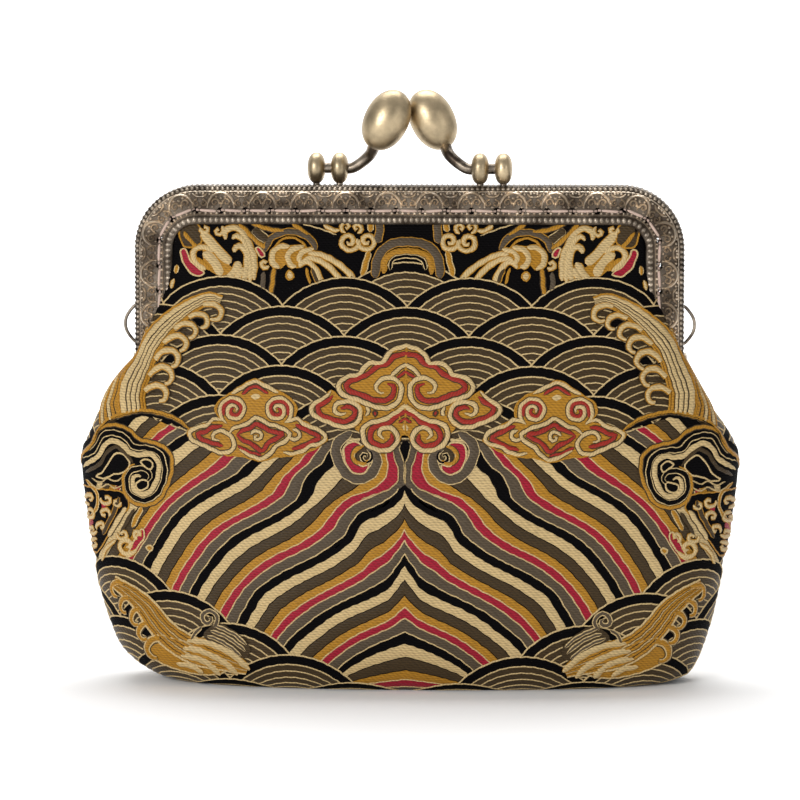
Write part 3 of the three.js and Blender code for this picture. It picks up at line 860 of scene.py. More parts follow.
def stripe_curve(guides, share):
    """The line at a share between the guides, in even steps"""
    keys = [key for key, _ in guides]
    k = min(max(np.searchsorted(keys, share, side="right") - 1, 0), len(keys) - 2)
    part = (share - keys[k]) / (keys[k + 1] - keys[k])
    return guides[k][1] * (1 - part) + guides[k + 1][1] * part


def water_stripes(work):
    size = bpy.context.scene.purse_cloth
    guides = []
    for key, chart in GUIDES:
        dense = smooth_path(on_chart(chart), 0.4 * MM)
        along = np.linspace(0, 1, len(dense))
        even = np.linspace(0, 1, STRIPE_STEPS)
        guides.append((key, np.stack([np.interp(even, along, c) for c in dense.T], axis=1)))
    for period in STRIPE_PERIODS:
        for stripe in STRIPES:
            cross = np.linspace(stripe["start"], stripe["end"], STRIPE_LANES)
            curves = np.stack([stripe_curve(guides, period + c) for c in cross])
            swell = 1 - np.linspace(-1, 1, STRIPE_LANES) ** 2
            crown = 0.0 if stripe["key"] == "black" else 0.5 * size.relief
            base = LAYERS["stripes"] + (0 if crown else 0.05 * MM)
            lift = np.broadcast_to(base + crown * swell[:, None], curves.shape[:2])
            work.grid(curves[..., 0], curves[..., 1], lift, stripe["key"])
        for share in STRIPE_LINES:
            path = even_path(stripe_curve(guides, period + share), 1.0 * MM)
            work.ribbon(path, size.line_width * 0.8, "cream", LAYERS["stripes"], size.relief * 0.7, lanes=4)
        for share in STRIPE_SHADOWS:
            path = even_path(stripe_curve(guides, period + share), 1.2 * MM)
            work.ribbon(path, size.line_width * 0.6, "black", LAYERS["stripes"], size.relief * 0.4, lanes=3)


# The figures of the cloth. A figure is drawn on the chart's left half, as a strip with a width in
# squares or, without one, as a filled outline. An edge is a second colour that shows round it.
def strip(key, width, points, edge=None):
    return {"key": key, "width": width, "points": points, "edge": edge}


def patch(key, points, edge=None):
    return {"key": key, "width": 0, "points": points, "edge": edge}


def coil(key, width, centre, radius, start, turns, edge=None):
    """A strip that winds in to a centre, from an angle in degrees"""
    wound = spiral_path(centre, radius, start, turns, 0.16, 24)
    return {"key": key, "width": width, "points": wound, "edge": edge}


CENTRE_CLOUD = [
    patch("gold", [
        (350, 402), (366, 401), (385, 404), (400, 409), (396, 420), (378, 428), (364, 434), (354, 427),
        (352, 412)]),
    patch("gold", [
        (405, 351), (395, 352), (386, 356), (381, 363), (371, 362), (363, 367), (358, 374), (347, 376),
        (339, 382), (338, 390), (345, 397), (360, 402), (378, 409), (390, 409), (397, 414),
        (405, 418)], "gold"),
    patch("gold", [
        (331, 391), (326, 397), (318, 402), (311, 406), (312, 414), (320, 420), (330, 424), (341, 428),
        (353, 427), (361, 420), (362, 408), (355, 402), (343, 400)], "gold"),
    patch("gold", [
        (405, 406), (396, 411), (384, 420), (371, 422), (364, 428), (363, 437), (368, 446), (377, 451),
        (389, 450), (398, 444), (401, 436), (405, 432)], "gold"),
    strip("rust", 4.8, [
        (405, 354), (394, 357), (388, 364), (377, 367), (369, 374), (358, 379), (350, 382), (346, 387),
        (351, 392), (361, 395), (370, 399), (378, 401), (388, 400), (394, 393), (393, 386), (387, 384)]),
    strip("rust", 4.6, [
        (333, 396), (327, 402), (318, 407), (321, 415), (334, 420), (344, 422), (353, 418), (355, 411),
        (348, 407), (341, 409)]),
    strip("rust", 4.8, [
        (405, 412), (397, 416), (389, 423), (374, 428), (370, 437), (375, 444), (386, 446), (392, 440),
        (391, 434)]),
    strip("cream", 4.2, [
        (331, 391), (326, 397), (318, 402), (312, 407), (312, 413), (320, 419), (330, 423), (341, 427),
        (352, 426), (360, 419), (360, 409), (354, 403), (344, 402), (336, 405), (335, 411), (340, 415),
        (346, 413)], "brown"),
    strip("cream", 4.4, [
        (405, 346), (394, 350), (387, 356), (382, 364), (372, 363), (364, 368), (359, 375), (348, 377),
        (340, 383), (339, 390), (345, 396), (360, 401), (369, 405), (379, 408), (389, 408), (397, 403),
        (401, 395), (401, 386), (396, 380), (388, 378), (380, 381), (376, 387), (379, 393),
        (384, 393)], "brown"),
    strip("cream", 3.6, [(391, 377), (398, 370), (405, 365)], "brown"),
    strip("rust", 3.0, [(397, 378), (405, 372)]),
    strip("gold", 2.4, [(399, 382), (405, 378)]),
    strip("cream", 4.4, [
        (405, 406), (396, 413), (384, 420), (371, 423), (364, 428), (363, 436), (367, 445), (377, 450),
        (389, 450), (397, 443), (397, 434), (390, 428), (382, 429), (379, 435), (384, 439)], "brown"),
    strip("cream", 3.2, [(366, 407), (369, 412), (366, 416)], "brown"),
    patch("rust", [(373, 412), (376, 411), (378, 414), (375, 417)]),
    strip("rust", 2.6, [(399, 423), (405, 419)]),
    patch("cream", [(405, 424), (402, 428), (405, 432)]),
]

SIDE_CLOUD = [
    patch("gold", [
        (255, 380), (243, 386), (231, 394), (219, 402), (216, 411), (221, 421), (206, 424), (190, 430),
        (189, 437), (200, 444), (212, 450), (226, 455), (240, 456), (252, 459), (262, 461), (276, 457),
        (290, 456), (306, 453), (326, 442), (326, 436), (312, 426), (298, 419), (294, 421), (297, 409),
        (290, 398), (279, 392), (267, 386)], "gold"),
    strip("cream", 3.8, [(232, 394), (243, 388), (255, 382), (267, 387), (279, 393)], "brown"),
    strip("rust", 3.0, [(242, 395), (255, 387), (269, 394)]),
    patch("cream", [(251, 397), (256, 394), (261, 397), (256, 400)]),
    coil("rust", 4.0, (234.5, 410.5), 11.5, 150, 1.3),
    coil("cream", 3.8, (234.5, 410.5), 15.0, 120, 1.75, "brown"),
    coil("rust", 4.0, (278, 410.5), 11.5, 30, -1.3),
    coil("cream", 3.8, (278, 410.5), 15.0, 60, -1.75, "brown"),
    strip("rust", 4.2, [(223, 426), (212, 428), (206, 432), (198, 434), (202, 439), (212, 443), (224, 446)]),
    strip("cream", 3.8, [
        (226, 421), (215, 419), (208, 425), (197, 428), (190, 433), (193, 440), (203, 445), (212, 449),
        (222, 453), (231, 451), (235, 444), (231, 436), (223, 431), (215, 433), (214, 439),
        (220, 441)], "brown"),
    strip("rust", 4.2, [(296, 425), (304, 429), (314, 434), (320, 438), (312, 442), (302, 447), (292, 449)]),
    strip("cream", 3.8, [
        (286, 423), (297, 419), (305, 425), (314, 428), (322, 432), (326, 439), (320, 444), (310, 446),
        (303, 451), (292, 454), (284, 452)], "brown"),
    strip("cream", 3.4, [(293, 430), (298, 431), (300, 436), (295, 440), (290, 438)], "brown"),
    strip("rust", 4.2, [
        (237, 435), (245, 430), (252, 428), (257, 424), (265, 428), (273, 432), (284, 434), (276, 439),
        (269, 443), (262, 451), (252, 444), (243, 440), (237, 435)]),
    strip("cream", 3.8, [
        (230, 434), (235, 428), (246, 425), (257, 418), (268, 424), (279, 427), (290, 434), (286, 441),
        (277, 446), (271, 453), (262, 459), (250, 455), (240, 449)], "brown"),
    coil("cream", 3.2, (257.5, 436.5), 6.5, 190, 1.25, "brown"),
    strip("rust", 2.6, [(238, 446), (250, 452), (262, 455)]),
]

# The curl and the folds of water under the middle cloud
CURL = [
    patch("crimson", [
        (389, 452), (393, 452), (396, 462), (398.5, 470), (398, 480), (392, 487.5), (384, 491.5),
        (374, 495), (362, 498.5), (366, 494), (374, 490.5), (383, 485), (389, 476), (390, 466)]),
    patch("grey", [
        (405, 447), (396, 449), (395.5, 456), (398.5, 463), (400, 470), (399.5, 480), (396, 486),
        (399, 489), (402, 487), (405, 482)]),
    strip("cream", 1.4, [
        (393, 452), (396, 462), (398.5, 470), (398, 480), (392, 487.5), (384, 491.5), (374, 495),
        (362, 499)]),
    strip("cream", 1.3, [(404.3, 463), (404.3, 484)]),
    patch("black", [(405, 441), (401, 444), (400, 449), (402, 456), (405, 463)]),
    strip("cream", 1.3, [(400.4, 445), (399.8, 449), (402, 457), (404.6, 463)]),
    strip("grey", 9, [
        (352, 432), (340, 441), (336, 450), (339, 462), (347, 474), (359, 479), (371, 474), (377, 463),
        (374, 452), (367, 448)], "cream"),
    patch("crimson", [
        (344, 449), (352, 442), (362, 445), (355, 452), (355, 460), (361, 466), (369, 465), (366, 472),
        (357, 474), (347, 466)], "cream"),
    strip("gold", 4, [(364, 446), (357, 449), (353, 455), (356, 462), (363, 464), (368, 460)], "brown"),
    coil("black", 2.6, (366, 457), 7.5, -60, 1.2, "cream"),
]

SIDE_WAVE = [
    patch("black", [
        (82, 455), (98, 434), (105, 427), (117, 425), (130, 430), (140, 439), (153, 442), (165, 447),
        (172, 456), (172, 473), (166, 489), (159, 500), (145, 505), (131, 500), (124, 489), (112, 484),
        (98, 482), (86, 484)]),
    patch("black", [
        (104, 434), (116, 421), (138, 411), (150, 411), (162, 413), (176, 418), (191, 429), (178, 426),
        (165, 420.5), (150, 416.5), (136, 418), (126, 424), (112, 428)]),
    strip("gold", 3.6, [
        (80, 462), (90, 448), (98, 434), (105, 427), (117, 425), (130, 430), (140, 439), (153, 442),
        (165, 447), (172, 456), (172, 473), (166, 489), (159, 500), (145, 505), (131, 500), (125, 489),
        (125, 475), (130, 467), (136, 464)], "brown"),
    strip("black", 4.6, [
        (82, 458), (91, 453), (98, 447), (104, 436), (113, 433), (125, 437), (134, 447), (147, 448),
        (160, 453), (165, 466), (164, 480), (157, 494), (144, 500), (131, 493), (128, 480), (133, 470),
        (146, 469), (151, 477), (145, 484)], "cream"),
    strip("cream", 5.4, [
        (86, 466), (99, 457), (106, 446), (114, 441), (124, 446), (131, 453), (140, 455), (151, 454),
        (159, 463), (158, 478), (152, 490), (144, 494), (135, 489), (134, 479), (138, 475),
        (142, 477)], "black"),
    strip("brown", 4.0, [(88, 472), (101, 464), (109, 452), (118, 447), (127, 455), (134, 463)]),
    patch("black", [
        (98, 476), (105, 471), (113, 458), (121, 453), (131, 463), (125, 472), (115, 474),
        (106, 478)], "cream"),
    patch("black", [(141, 462), (147, 459), (153, 464), (151, 470), (145, 466)], "cream"),
    patch("black", [(137, 483), (143, 480), (149, 481), (148, 487), (143, 490), (138, 488)], "cream"),
    strip("cream", 1.6, [(94, 478), (102, 482), (109, 478), (117, 481), (124, 477)]),
    strip("cream", 1.6, [(93, 484), (101, 488), (109, 484), (117, 488), (124, 484)]),
    strip("gold", 4.2, [
        (82, 466), (87, 452), (95, 443), (100, 431), (109, 420), (125, 414), (144, 411), (162, 414),
        (178, 420), (191, 430)], "brown"),
    strip("black", 0.9, [
        (88, 452), (96, 442), (101, 431), (110, 421), (125, 415), (144, 412.5), (162, 415), (178, 421),
        (190, 430)]),
]

# Spray under the spiral wave
SPRAY = [
    patch("black", [
        (86, 486), (104, 489), (124, 492), (130, 503), (126, 512), (108, 538), (98, 552), (90, 536),
        (85, 510)], "gold"),
    strip("gold", 3.2, [(88, 479), (98, 492), (97, 510), (92, 530)], "cream"),
    strip("brown", 4.6, [(120, 497), (114, 514), (104, 534)], "gold"),
    coil("cream", 3.6, (92, 498), 6, 90, 1.1, "gold"),
    coil("cream", 3.4, (108, 499), 6, 200, -1.1, "gold"),
    coil("cream", 3.2, (118, 502), 4.5, 0, 1.0, "gold"),
    coil("cream", 3.4, (92, 514), 5.5, 250, 1.1, "gold"),
    coil("cream", 3.4, (106, 513), 5.5, 40, -1.1, "gold"),
    coil("cream", 3.4, (103, 526), 5, 140, 1.1, "gold"),
    coil("cream", 3.4, (95, 529), 4.5, 20, 1.1, "gold"),
    coil("cream", 3.4, (97, 543), 5, 300, -1.1, "gold"),
    patch("crimson", [(103, 504), (106, 502), (108, 506), (104, 508)]),
    patch("crimson", [(90, 519), (93, 517), (95, 524), (91, 526)]),
    strip("cream", 5.0, [(127, 507), (119, 520), (110, 536)], "brown"),
    strip("brown", 4.0, [(135, 509), (128, 521), (122, 532)]),
    strip("gold", 4.0, [(143, 507), (137, 518), (133, 527)], "cream"),
    patch("crimson", [(139, 533), (144, 529), (145, 537), (140, 545), (133, 554), (128, 556)], "cream"),
    coil("cream", 4.4, (128, 545), 10, 20, 1.25, "gold"),
    coil("cream", 3.4, (124, 534), 6, 200, -1.2, "gold"),
    coil("cream", 3.4, (139, 534), 5, 100, 1.1, "gold"),
    strip("cream", 3.6, [(104, 560), (108, 548), (117, 540)], "gold"),
    patch("gold", [(147, 547), (151, 545), (154, 548), (150, 551)], "cream"),
]

# The strip of waves and clouds that shows above the fans
TOP_STRIP = [
    patch("brown", [(180, 226), (198, 224), (202, 240), (196, 246), (184, 246)], "gold"),
    strip("gold", 4, [(184, 232), (190, 240), (199, 250)]),
    patch("crimson", [
        (181, 252), (186, 249), (190, 259), (197, 267), (205, 273), (196, 276), (186, 267)], "cream"),
    patch("gold", [(204, 246), (214, 250), (226, 262), (233, 270), (222, 277), (212, 272), (204, 262)]),
    strip("cream", 5, [(206, 270), (198, 264), (193, 256), (196, 249), (204, 247), (213, 252)], "gold"),
    strip("gold", 3, [(178, 265), (177, 274)], "cream"),
    strip("cream", 3, [(175, 279), (172, 289)], "gold"),
    strip("gold", 5, [(196, 258), (204, 264), (210, 270)]),
    strip("cream", 9, [(203, 253), (211, 258), (218, 268), (221, 276)], "gold"),
    strip("cream", 9, [(202, 232), (212, 244), (222, 255), (231, 264)], "gold"),
    coil("cream", 3.4, (205, 229), 5, 200, -1.1, "gold"),
    strip("cream", 7, [(228, 280), (236, 270), (240, 262)], "gold"),
    coil("cream", 3.2, (219, 231), 5.5, 300, 1.1, "gold"),
    strip("cream", 5.5, [
        (226, 240), (225, 232), (233, 228), (242, 232), (249, 244), (254, 258), (254, 280)], "gold"),
    strip("cream", 5, [(233, 240), (236, 236), (243, 240), (248, 252), (250, 266), (250, 282)], "gold"),
    strip("cream", 6, [(235, 253), (236, 248), (242, 247), (247, 254), (247, 268), (244, 282)], "gold"),
    strip("cream", 6, [(236, 282), (240, 274), (243, 268)], "gold"),
    patch("crimson", [(256, 248), (260, 248), (265, 255), (260, 257)], "cream"),
    strip("gold", 4.4, [(239, 224), (248, 233), (258, 243), (268, 249)], "brown"),
    strip("brown", 8, [(253, 229), (261, 236), (268, 241)], "cream"),
    strip("gold", 4.4, [(250, 222), (264, 228), (278, 231), (290, 233)], "brown"),
    strip("gold", 4.4, [(292, 224), (301, 230), (309, 237)], "brown"),
    strip("cream", 1.6, [(302, 224), (318, 228), (337, 235)]),
    strip("grey", 6, [
        (265, 252), (270, 240), (280, 234), (292, 232), (304, 235), (312, 241), (316, 250)], "gold"),
    strip("gold", 2.6, [(273, 250), (281, 241), (291, 238), (301, 242), (308, 250)]),
    patch("black", [(283, 246), (290, 240), (298, 246)]),
    patch("gold", [
        (271, 254), (279, 247), (292, 246), (306, 248), (313, 254), (305, 265), (297, 269), (288, 264),
        (280, 270), (273, 264)]),
    coil("cream", 3.4, (265, 264), 5, 30, 1.1, "gold"),
    strip("gold", 4.4, [(274, 268), (273, 280), (271, 296)], "brown"),
    strip("grey", 5, [(264, 272), (263, 284), (264, 294)]),
    patch("cream", [(286, 276), (290, 271), (294, 276), (290, 281)], "gold"),
    strip("gold", 3, [(306, 268), (308, 276), (310, 284)]),
    strip("brown", 5, [(312, 268), (316, 276), (318, 284)], "gold"),
    strip("cream", 5, [(322, 286), (318, 274), (310, 263), (302, 263), (299, 268)], "gold"),
    strip("cream", 5, [(342, 284), (334, 272), (322, 262), (310, 258), (303, 261)], "gold"),
    strip("cream", 5, [(356, 281), (343, 268), (330, 259), (318, 254), (308, 254)], "gold"),
    strip("cream", 5, [(314, 249), (303, 252), (299, 259), (303, 265)], "gold"),
    strip("cream", 5.5, [(304, 247), (293, 250), (288, 257), (291, 266), (296, 267)], "gold"),
    strip("cream", 5.5, [(290, 247), (279, 248), (273, 254), (273, 263), (280, 269)], "gold"),
    coil("cream", 4, (349, 242), 10.5, -10, 1.5, "gold"),
    coil("cream", 4, (367, 241), 10, 190, -1.5, "gold"),
    coil("cream", 3, (346, 227), 6, 90, 1.2, "gold"),
    coil("cream", 3, (357, 228), 5.5, 90, -1.2, "gold"),
    strip("cream", 3.4, [(324, 225), (332, 230), (340, 231)], "gold"),
    strip("gold", 4.6, [(371, 222), (370, 232)], "cream"),
    strip("grey", 7.5, [(379.5, 220), (379.5, 232), (377, 243)], "gold"),
    strip("gold", 4.6, [(369, 251), (366, 262), (362, 276)], "cream"),
    strip("grey", 8.5, [(375, 278), (377, 261), (383, 250), (394, 243.5), (405, 242)], "gold"),
    strip("gold", 6, [(384, 274), (385, 262), (390, 255), (398, 252), (405, 251)]),
    strip("black", 3, [(390, 270), (392, 261), (398, 257.5), (405, 256.5)], "cream"),
]


# How much higher the next figure lies, and a strip over its own edge; how much wider the edge is; and
# up to which width a strip is worked as a cord
FIGURE_STEP = 0.006 * MM
LAYER_STEP = 0.02 * MM
EDGE_MARGIN = 0.4 * MM
CORD_LIMIT = 1.1 * MM


def draw(work, figures, lift):
    """Works the figures one over the other"""
    size = bpy.context.scene.purse_cloth
    for order, figure in enumerate(figures):
        points = on_chart(figure["points"])
        rise = lift + order * FIGURE_STEP
        wide = figure["width"] * CHART_SQUARE
        key, edge = figure["key"], figure["edge"]
        if key == "rust":
            edge = "brown"
        if wide:
            path = smooth_path(points, 0.7 * MM)
            path[:, 0] = np.minimum(path[:, 0], OVERLAP)
            first, last = (1 if figure["points"][i][0] == CHART_MIDDLE else 0.3 for i in (0, -1))
            taper = ([0, 0.05, 0.13, 0.87, 0.95, 1], [first, max(first, 0.8), 1, 1, max(last, 0.8), last])
            if edge:
                work.ribbon(path, wide + EDGE_MARGIN, edge, rise, size.relief * 0.35, kind="floss",
                            taper=taper)
            crown = size.relief * (1.35 if key == "cream" else 0.9)
            kind = "cord" if wide < CORD_LIMIT else "floss"
            work.ribbon(path, wide, key, rise + LAYER_STEP, crown, kind=kind, taper=taper)
            continue
        path = smooth_path(points, 0.7 * MM, closed=True)
        path[:, 0] = np.minimum(path[:, 0], OVERLAP)
        work.fill(path[:-1], key, rise)
        if edge:
            work.ribbon(path, size.line_width, edge, rise + LAYER_STEP, size.relief * 0.7, lanes=4)


# Foam: a crest is a bundle of flutes along a spine, with hooked fingers on one side. A finger is its
# place on the chart, its heading and turn in degrees, its length and its width in chart squares.
# SHADOW_MARGIN and RIM_MARGIN are how much wider its dark edge and its rim are.
SHADOW_MARGIN = 0.5 * MM
RIM_MARGIN = 0.1 * MM
RIM_WIDTH = 0.5 * MM


def hook(work, start, heading, length, turn, width, lift, key="cream"):
    """A finger of foam that curls over"""
    size = bpy.context.scene.purse_cloth
    place = on_chart([start])[0]
    path = even_path(curl_path(place, heading, length * CHART_SQUARE, turn), 0.6 * MM)
    wide = width * CHART_SQUARE
    taper = ([0, 0.35, 0.8, 1], [0.9, 1.0, 0.75, 0.5])
    work.ribbon(path, wide + SHADOW_MARGIN, "brown", lift, size.relief * 0.5, taper=taper)
    rim = "cream" if key == "gold" else "gold"
    work.ribbon(path, wide + RIM_MARGIN, rim, lift + LAYER_STEP / 2, size.relief * 0.9, taper=taper)
    work.ribbon(path, wide * 0.72, key, lift + 0.05 * MM, size.relief * 1.7, kind="floss", taper=taper)


def flutes(work, spine, widths, keys, lift, taper, rim="gold"):
    """Parallel ribs along a spine, each as wide as its share"""
    size = bpy.context.scene.purse_cloth
    path = smooth_path(on_chart(spine), 0.9 * MM)
    share = np.linspace(0, 1, len(path))
    swell = np.interp(share, *taper)
    total = sum(widths)
    side = sideways(path)
    work.ribbon(path, (total + 2) * CHART_SQUARE, "brown", lift, 0.0, kind="floss", taper=(share, swell))
    offset = -total / 2
    for wide, key in zip(widths, keys):
        middle = (offset + wide / 2) * CHART_SQUARE
        offset += wide
        line = path + side * (middle * swell)[:, None]
        work.ribbon(line, wide * CHART_SQUARE * 0.78, key, lift + LAYER_STEP, size.relief * 1.5,
                    kind="floss", taper=(share, swell))
    for edge in (-1, 1):
        line = path + side * (edge * (total / 2 + 1) * CHART_SQUARE * swell)[:, None]
        work.ribbon(line, RIM_WIDTH, rim, lift + LAYER_STEP, size.relief * 1.2)


UPPER_CREST_SPINE = [(134, 412), (133, 392), (140, 370), (150, 350), (163, 332), (177, 318), (194, 306),
                     (210, 299), (222, 302)]
UPPER_CREST_FINGERS = [
    {"start": (146, 392), "heading": 42, "length": 42, "turn": -235, "width": 8},
    {"start": (150, 376), "heading": 50, "length": 46, "turn": -235, "width": 8},
    {"start": (157, 360), "heading": 52, "length": 46, "turn": -235, "width": 8},
    {"start": (166, 344), "heading": 48, "length": 42, "turn": -230, "width": 8},
    {"start": (176, 330), "heading": 42, "length": 40, "turn": -230, "width": 7.5},
    {"start": (190, 318), "heading": 30, "length": 36, "turn": -225, "width": 7},
    {"start": (204, 306), "heading": 14, "length": 40, "turn": -240, "width": 7.5},
]
SHOULDER_SPINE = [(112, 420), (110, 404), (117, 386), (128, 367), (141, 346), (152, 331)]
LOWER_CREST_SPINE = [(116, 581), (132, 593), (146, 606), (157, 621), (169, 634), (184, 645), (204, 654),
                     (226, 661), (248, 668)]
LOWER_CREST_FINGERS = [
    {"start": (126, 584), "heading": 160, "length": 36, "turn": 230, "width": 7},
    {"start": (131, 597), "heading": 185, "length": 30, "turn": 200, "width": 7},
    {"start": (141, 608), "heading": 195, "length": 30, "turn": 200, "width": 7},
    {"start": (148, 622), "heading": 200, "length": 32, "turn": 210, "width": 7.5},
    {"start": (161, 637), "heading": 190, "length": 40, "turn": 200, "width": 9},
]
LOWER_CREST_ENDS = [
    strip("cream", 6.4, [(188, 640), (203, 641), (219, 646), (235, 655), (250, 668)], "gold"),
    strip("cream", 6.6, [(184, 647), (199, 649), (214, 655), (229, 664), (238, 673)], "gold"),
    strip("cream", 6.4, [(182, 654.5), (197, 657), (210, 663), (221, 673)], "gold"),
    strip("cream", 5.4, [(178, 662), (192, 664.5), (204, 671)], "gold"),
    coil("grey", 3.4, (209, 618), 10, 60, -1.4, "cream"),
    strip("grey", 2.6, [(203, 626), (196, 632), (192, 640)], "cream"),
    patch("brown", [
        (211, 626), (218, 622), (232, 628), (246, 639), (251, 650), (244, 657), (228, 650), (213, 643),
        (204, 634)]),
    strip("grey", 2.4, [(214, 624), (226, 629), (237, 635), (247, 644)], "cream"),
    strip("grey", 2.4, [(211, 630), (223, 634), (235, 641), (246, 650)], "cream"),
    strip("grey", 2.4, [(208, 635), (219, 639), (231, 646), (242, 655)], "cream"),
]
LOWER_CREST_BASE = [
    patch("gold", [
        (150, 639), (160, 634), (174, 638), (192, 643), (212, 652), (230, 664), (222, 672), (202, 673),
        (182, 669), (165, 663), (153, 656), (147, 648)], "cream"),
]


def foam(work):
    lift = LAYERS["wave"]
    flutes(work, SHOULDER_SPINE, [7, 6, 6, 6, 6], ["gold", "gold", "cream", "gold", "cream"], lift,
           ([0, 0.5, 1], [1, 0.8, 0.2]))
    flutes(work, UPPER_CREST_SPINE, [4, 4, 6, 5, 10], ["gold", "cream", "cream", "cream", "cream"],
           lift + 0.05 * MM, ([0, 0.3, 0.7, 1], [1, 0.95, 0.6, 0.3]))
    for finger in UPPER_CREST_FINGERS:
        hook(work, lift=lift + 0.1 * MM, **finger)
    draw(work, LOWER_CREST_BASE, LAYERS["lower_crest"] + 0.03 * MM)
    flutes(work, LOWER_CREST_SPINE, [4, 4, 1.6, 4, 4, 1.6, 4, 4],
           ["gold", "gold", "cream", "gold", "gold", "cream", "gold", "gold"],
           LAYERS["lower_crest"] + 0.06 * MM,
           ([0, 0.3, 0.7, 1], [0.4, 0.85, 1.0, 0.4]), "cream")
    for finger in LOWER_CREST_FINGERS:
        hook(work, lift=LAYERS["lower_crest"] + 0.1 * MM, key="gold", **finger)
    draw(work, LOWER_CREST_ENDS, LAYERS["lower_crest"] + 0.2 * MM)


# The brocade's pieces, for the front and the back

def pillow_panel(name, back):
    """The bare cloth of one panel, a wall with its true thickness"""
    surface = cloth()
    coarse = 3
    pick_v = np.arange(0, len(surface.vs), coarse)
    pick_u = np.arange(0, len(surface.us), coarse)
    points = surface.points[np.ix_(pick_v, pick_u)]
    u, v = np.meshgrid(surface.us[pick_u], surface.vs[pick_v])
    rows, columns = u.shape
    index = np.arange(rows * columns).reshape(rows, columns)
    faces = np.stack([index[:-1, :-1], index[:-1, 1:], index[1:, 1:], index[1:, :-1]], axis=-1).reshape(-1, 4)
    points = points.reshape(-1, 3)
    if back:
        points = points * np.array([1, -1, 1])
        faces = faces[:, ::-1]
    piece = make_object(name, points, faces.tolist(), [silk("black")])
    set_uv(piece, "cloth", np.stack([u.ravel(), v.ravel()], axis=1))
    set_uv(piece, "path", np.stack([u.ravel(), v.ravel()], axis=1))
    cut_at_seam(piece, back)
    wall = piece.modifiers.new("wall", "SOLIDIFY")
    wall.thickness = bpy.context.scene.purse_cloth.cloth_wall
    wall.offset = -1
    apply_modifiers(piece)
    shade(piece, 60)
    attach(piece, "root")
    return piece


def apply_modifiers(piece):
    evaluated = piece.evaluated_get(bpy.context.evaluated_depsgraph_get())
    mesh = bpy.data.meshes.new_from_object(evaluated)
    piece.modifiers.clear()
    piece.data = mesh


class PURSE_OT_panels(bpy.types.Operator):
    """Makes the two cloth panels of the bag"""
    bl_idname = "purse.panels"
    bl_label = "Cloth panels"

    def execute(self, context):
        for name, back in SIDES:
            panel = pillow_panel(f"brocade_{name}", back)
            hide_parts(f"{name}_panel")
        return {"FINISHED"}


class PURSE_OT_fans(bpy.types.Operator):
    """Weaves the wave fans"""
    bl_idname = "purse.fans"
    bl_label = "Wave fans"

    def execute(self, context):
        work = Needlework()
        size = context.scene.purse_cloth
        top = on_chart([(CHART_MIDDLE, TOP_FAN_ROW)])[0, 1] - size.fan_radius
        work.discs = [((-u * size.fan_pitch, top), size.fan_radius) for u in (-0.5, 0.5, 1.5, 2.5)]
        draw(work, TOP_STRIP, LAYERS["strip"])
        work.discs = []
        upper_fans(work)
        lower_fans(work, LAYERS["lower_fans"])
        work.both_sides("fans")
        return {"FINISHED"}


class PURSE_OT_stripes(bpy.types.Operator):
    """Weaves the water stripes"""
    bl_idname = "purse.stripes"
    bl_label = "Water stripes"

    def execute(self, context):
        work = Needlework()
        water_stripes(work)
        work.both_sides("stripes")
        return {"FINISHED"}


class PURSE_OT_clouds(bpy.types.Operator):
    """Weaves the clouds"""
    bl_idname = "purse.clouds"
    bl_label = "Clouds"

    def execute(self, context):
        work = Needlework()
        draw(work, SIDE_CLOUD, LAYERS["cloud"])
        draw(work, CENTRE_CLOUD, LAYERS["cloud"])
        work.both_sides("clouds")
        return {"FINISHED"}


class PURSE_OT_foam(bpy.types.Operator):
    """Weaves the foam crests and the spiral waves"""
    bl_idname = "purse.foam"
    bl_label = "Foam and spiral waves"

    def execute(self, context):
        work = Needlework()
        draw(work, CURL, LAYERS["wave"])
        draw(work, SIDE_WAVE, LAYERS["wave"])
        draw(work, SPRAY, LAYERS["wave"])
        foam(work)
        work.both_sides("foam")
        return {"FINISHED"}


# The metal frame. Along it, s runs on a middle line from the left foot to the right foot and inset
# runs in from the outer edge.

FACE_ROUND = 1.8 * MM


class Band:
    """The course of the frame's face"""

    middle_inset = 3.2 * MM

    def __init__(self, settings):
        self.corner = settings.corner
        self.face = settings.face
        self.leg = FRAME_TOP - settings.corner - FRAME_FOOT
        self.bend = math.pi / 2 * (settings.corner - self.middle_inset)
        self.top = 2 * (FRAME_HALF - settings.corner)
        self.length = 2 * (self.leg + self.bend) + self.top

    def station(self, s):
        """A point of the outer edge and the direction that leads in from it"""
        mirrored = s > self.length / 2
        half = np.where(mirrored, self.length - s, s)
        turn = np.clip((half - self.leg) / self.bend, 0, 1) * math.pi / 2
        run = np.maximum(half - self.leg - self.bend, 0)
        x = -FRAME_HALF + self.corner * (1 - np.cos(turn)) + run
        z = FRAME_FOOT + np.minimum(half, self.leg) + self.corner * np.sin(turn)
        side = np.where(mirrored, -1, 1)
        return np.stack([x * side, z], axis=1), np.stack([np.cos(turn) * side, -np.sin(turn)], axis=1)

    def place(self, s, inset, lift):
        """Points on the front face, which is rounded at its outer edge"""
        edge, inward = self.station(s)
        past = np.maximum(FACE_ROUND - inset, 0)
        fall = FACE_ROUND - np.sqrt(np.maximum(FACE_ROUND ** 2 - past ** 2, 0))
        flat = edge + inward * inset[:, None]
        return np.stack([flat[:, 0], -(self.face - fall + lift), flat[:, 1]], axis=1)


@functools.lru_cache(maxsize=None)
def band():
    return Band(bpy.context.scene.purse_metal)


def arc_points(centre, reach, start, end, steps):
    angle = np.radians(np.linspace(start, end, steps + 1))
    return [(centre[0] + reach[0] * math.cos(a), centre[1] + reach[1] * math.sin(a)) for a in angle]


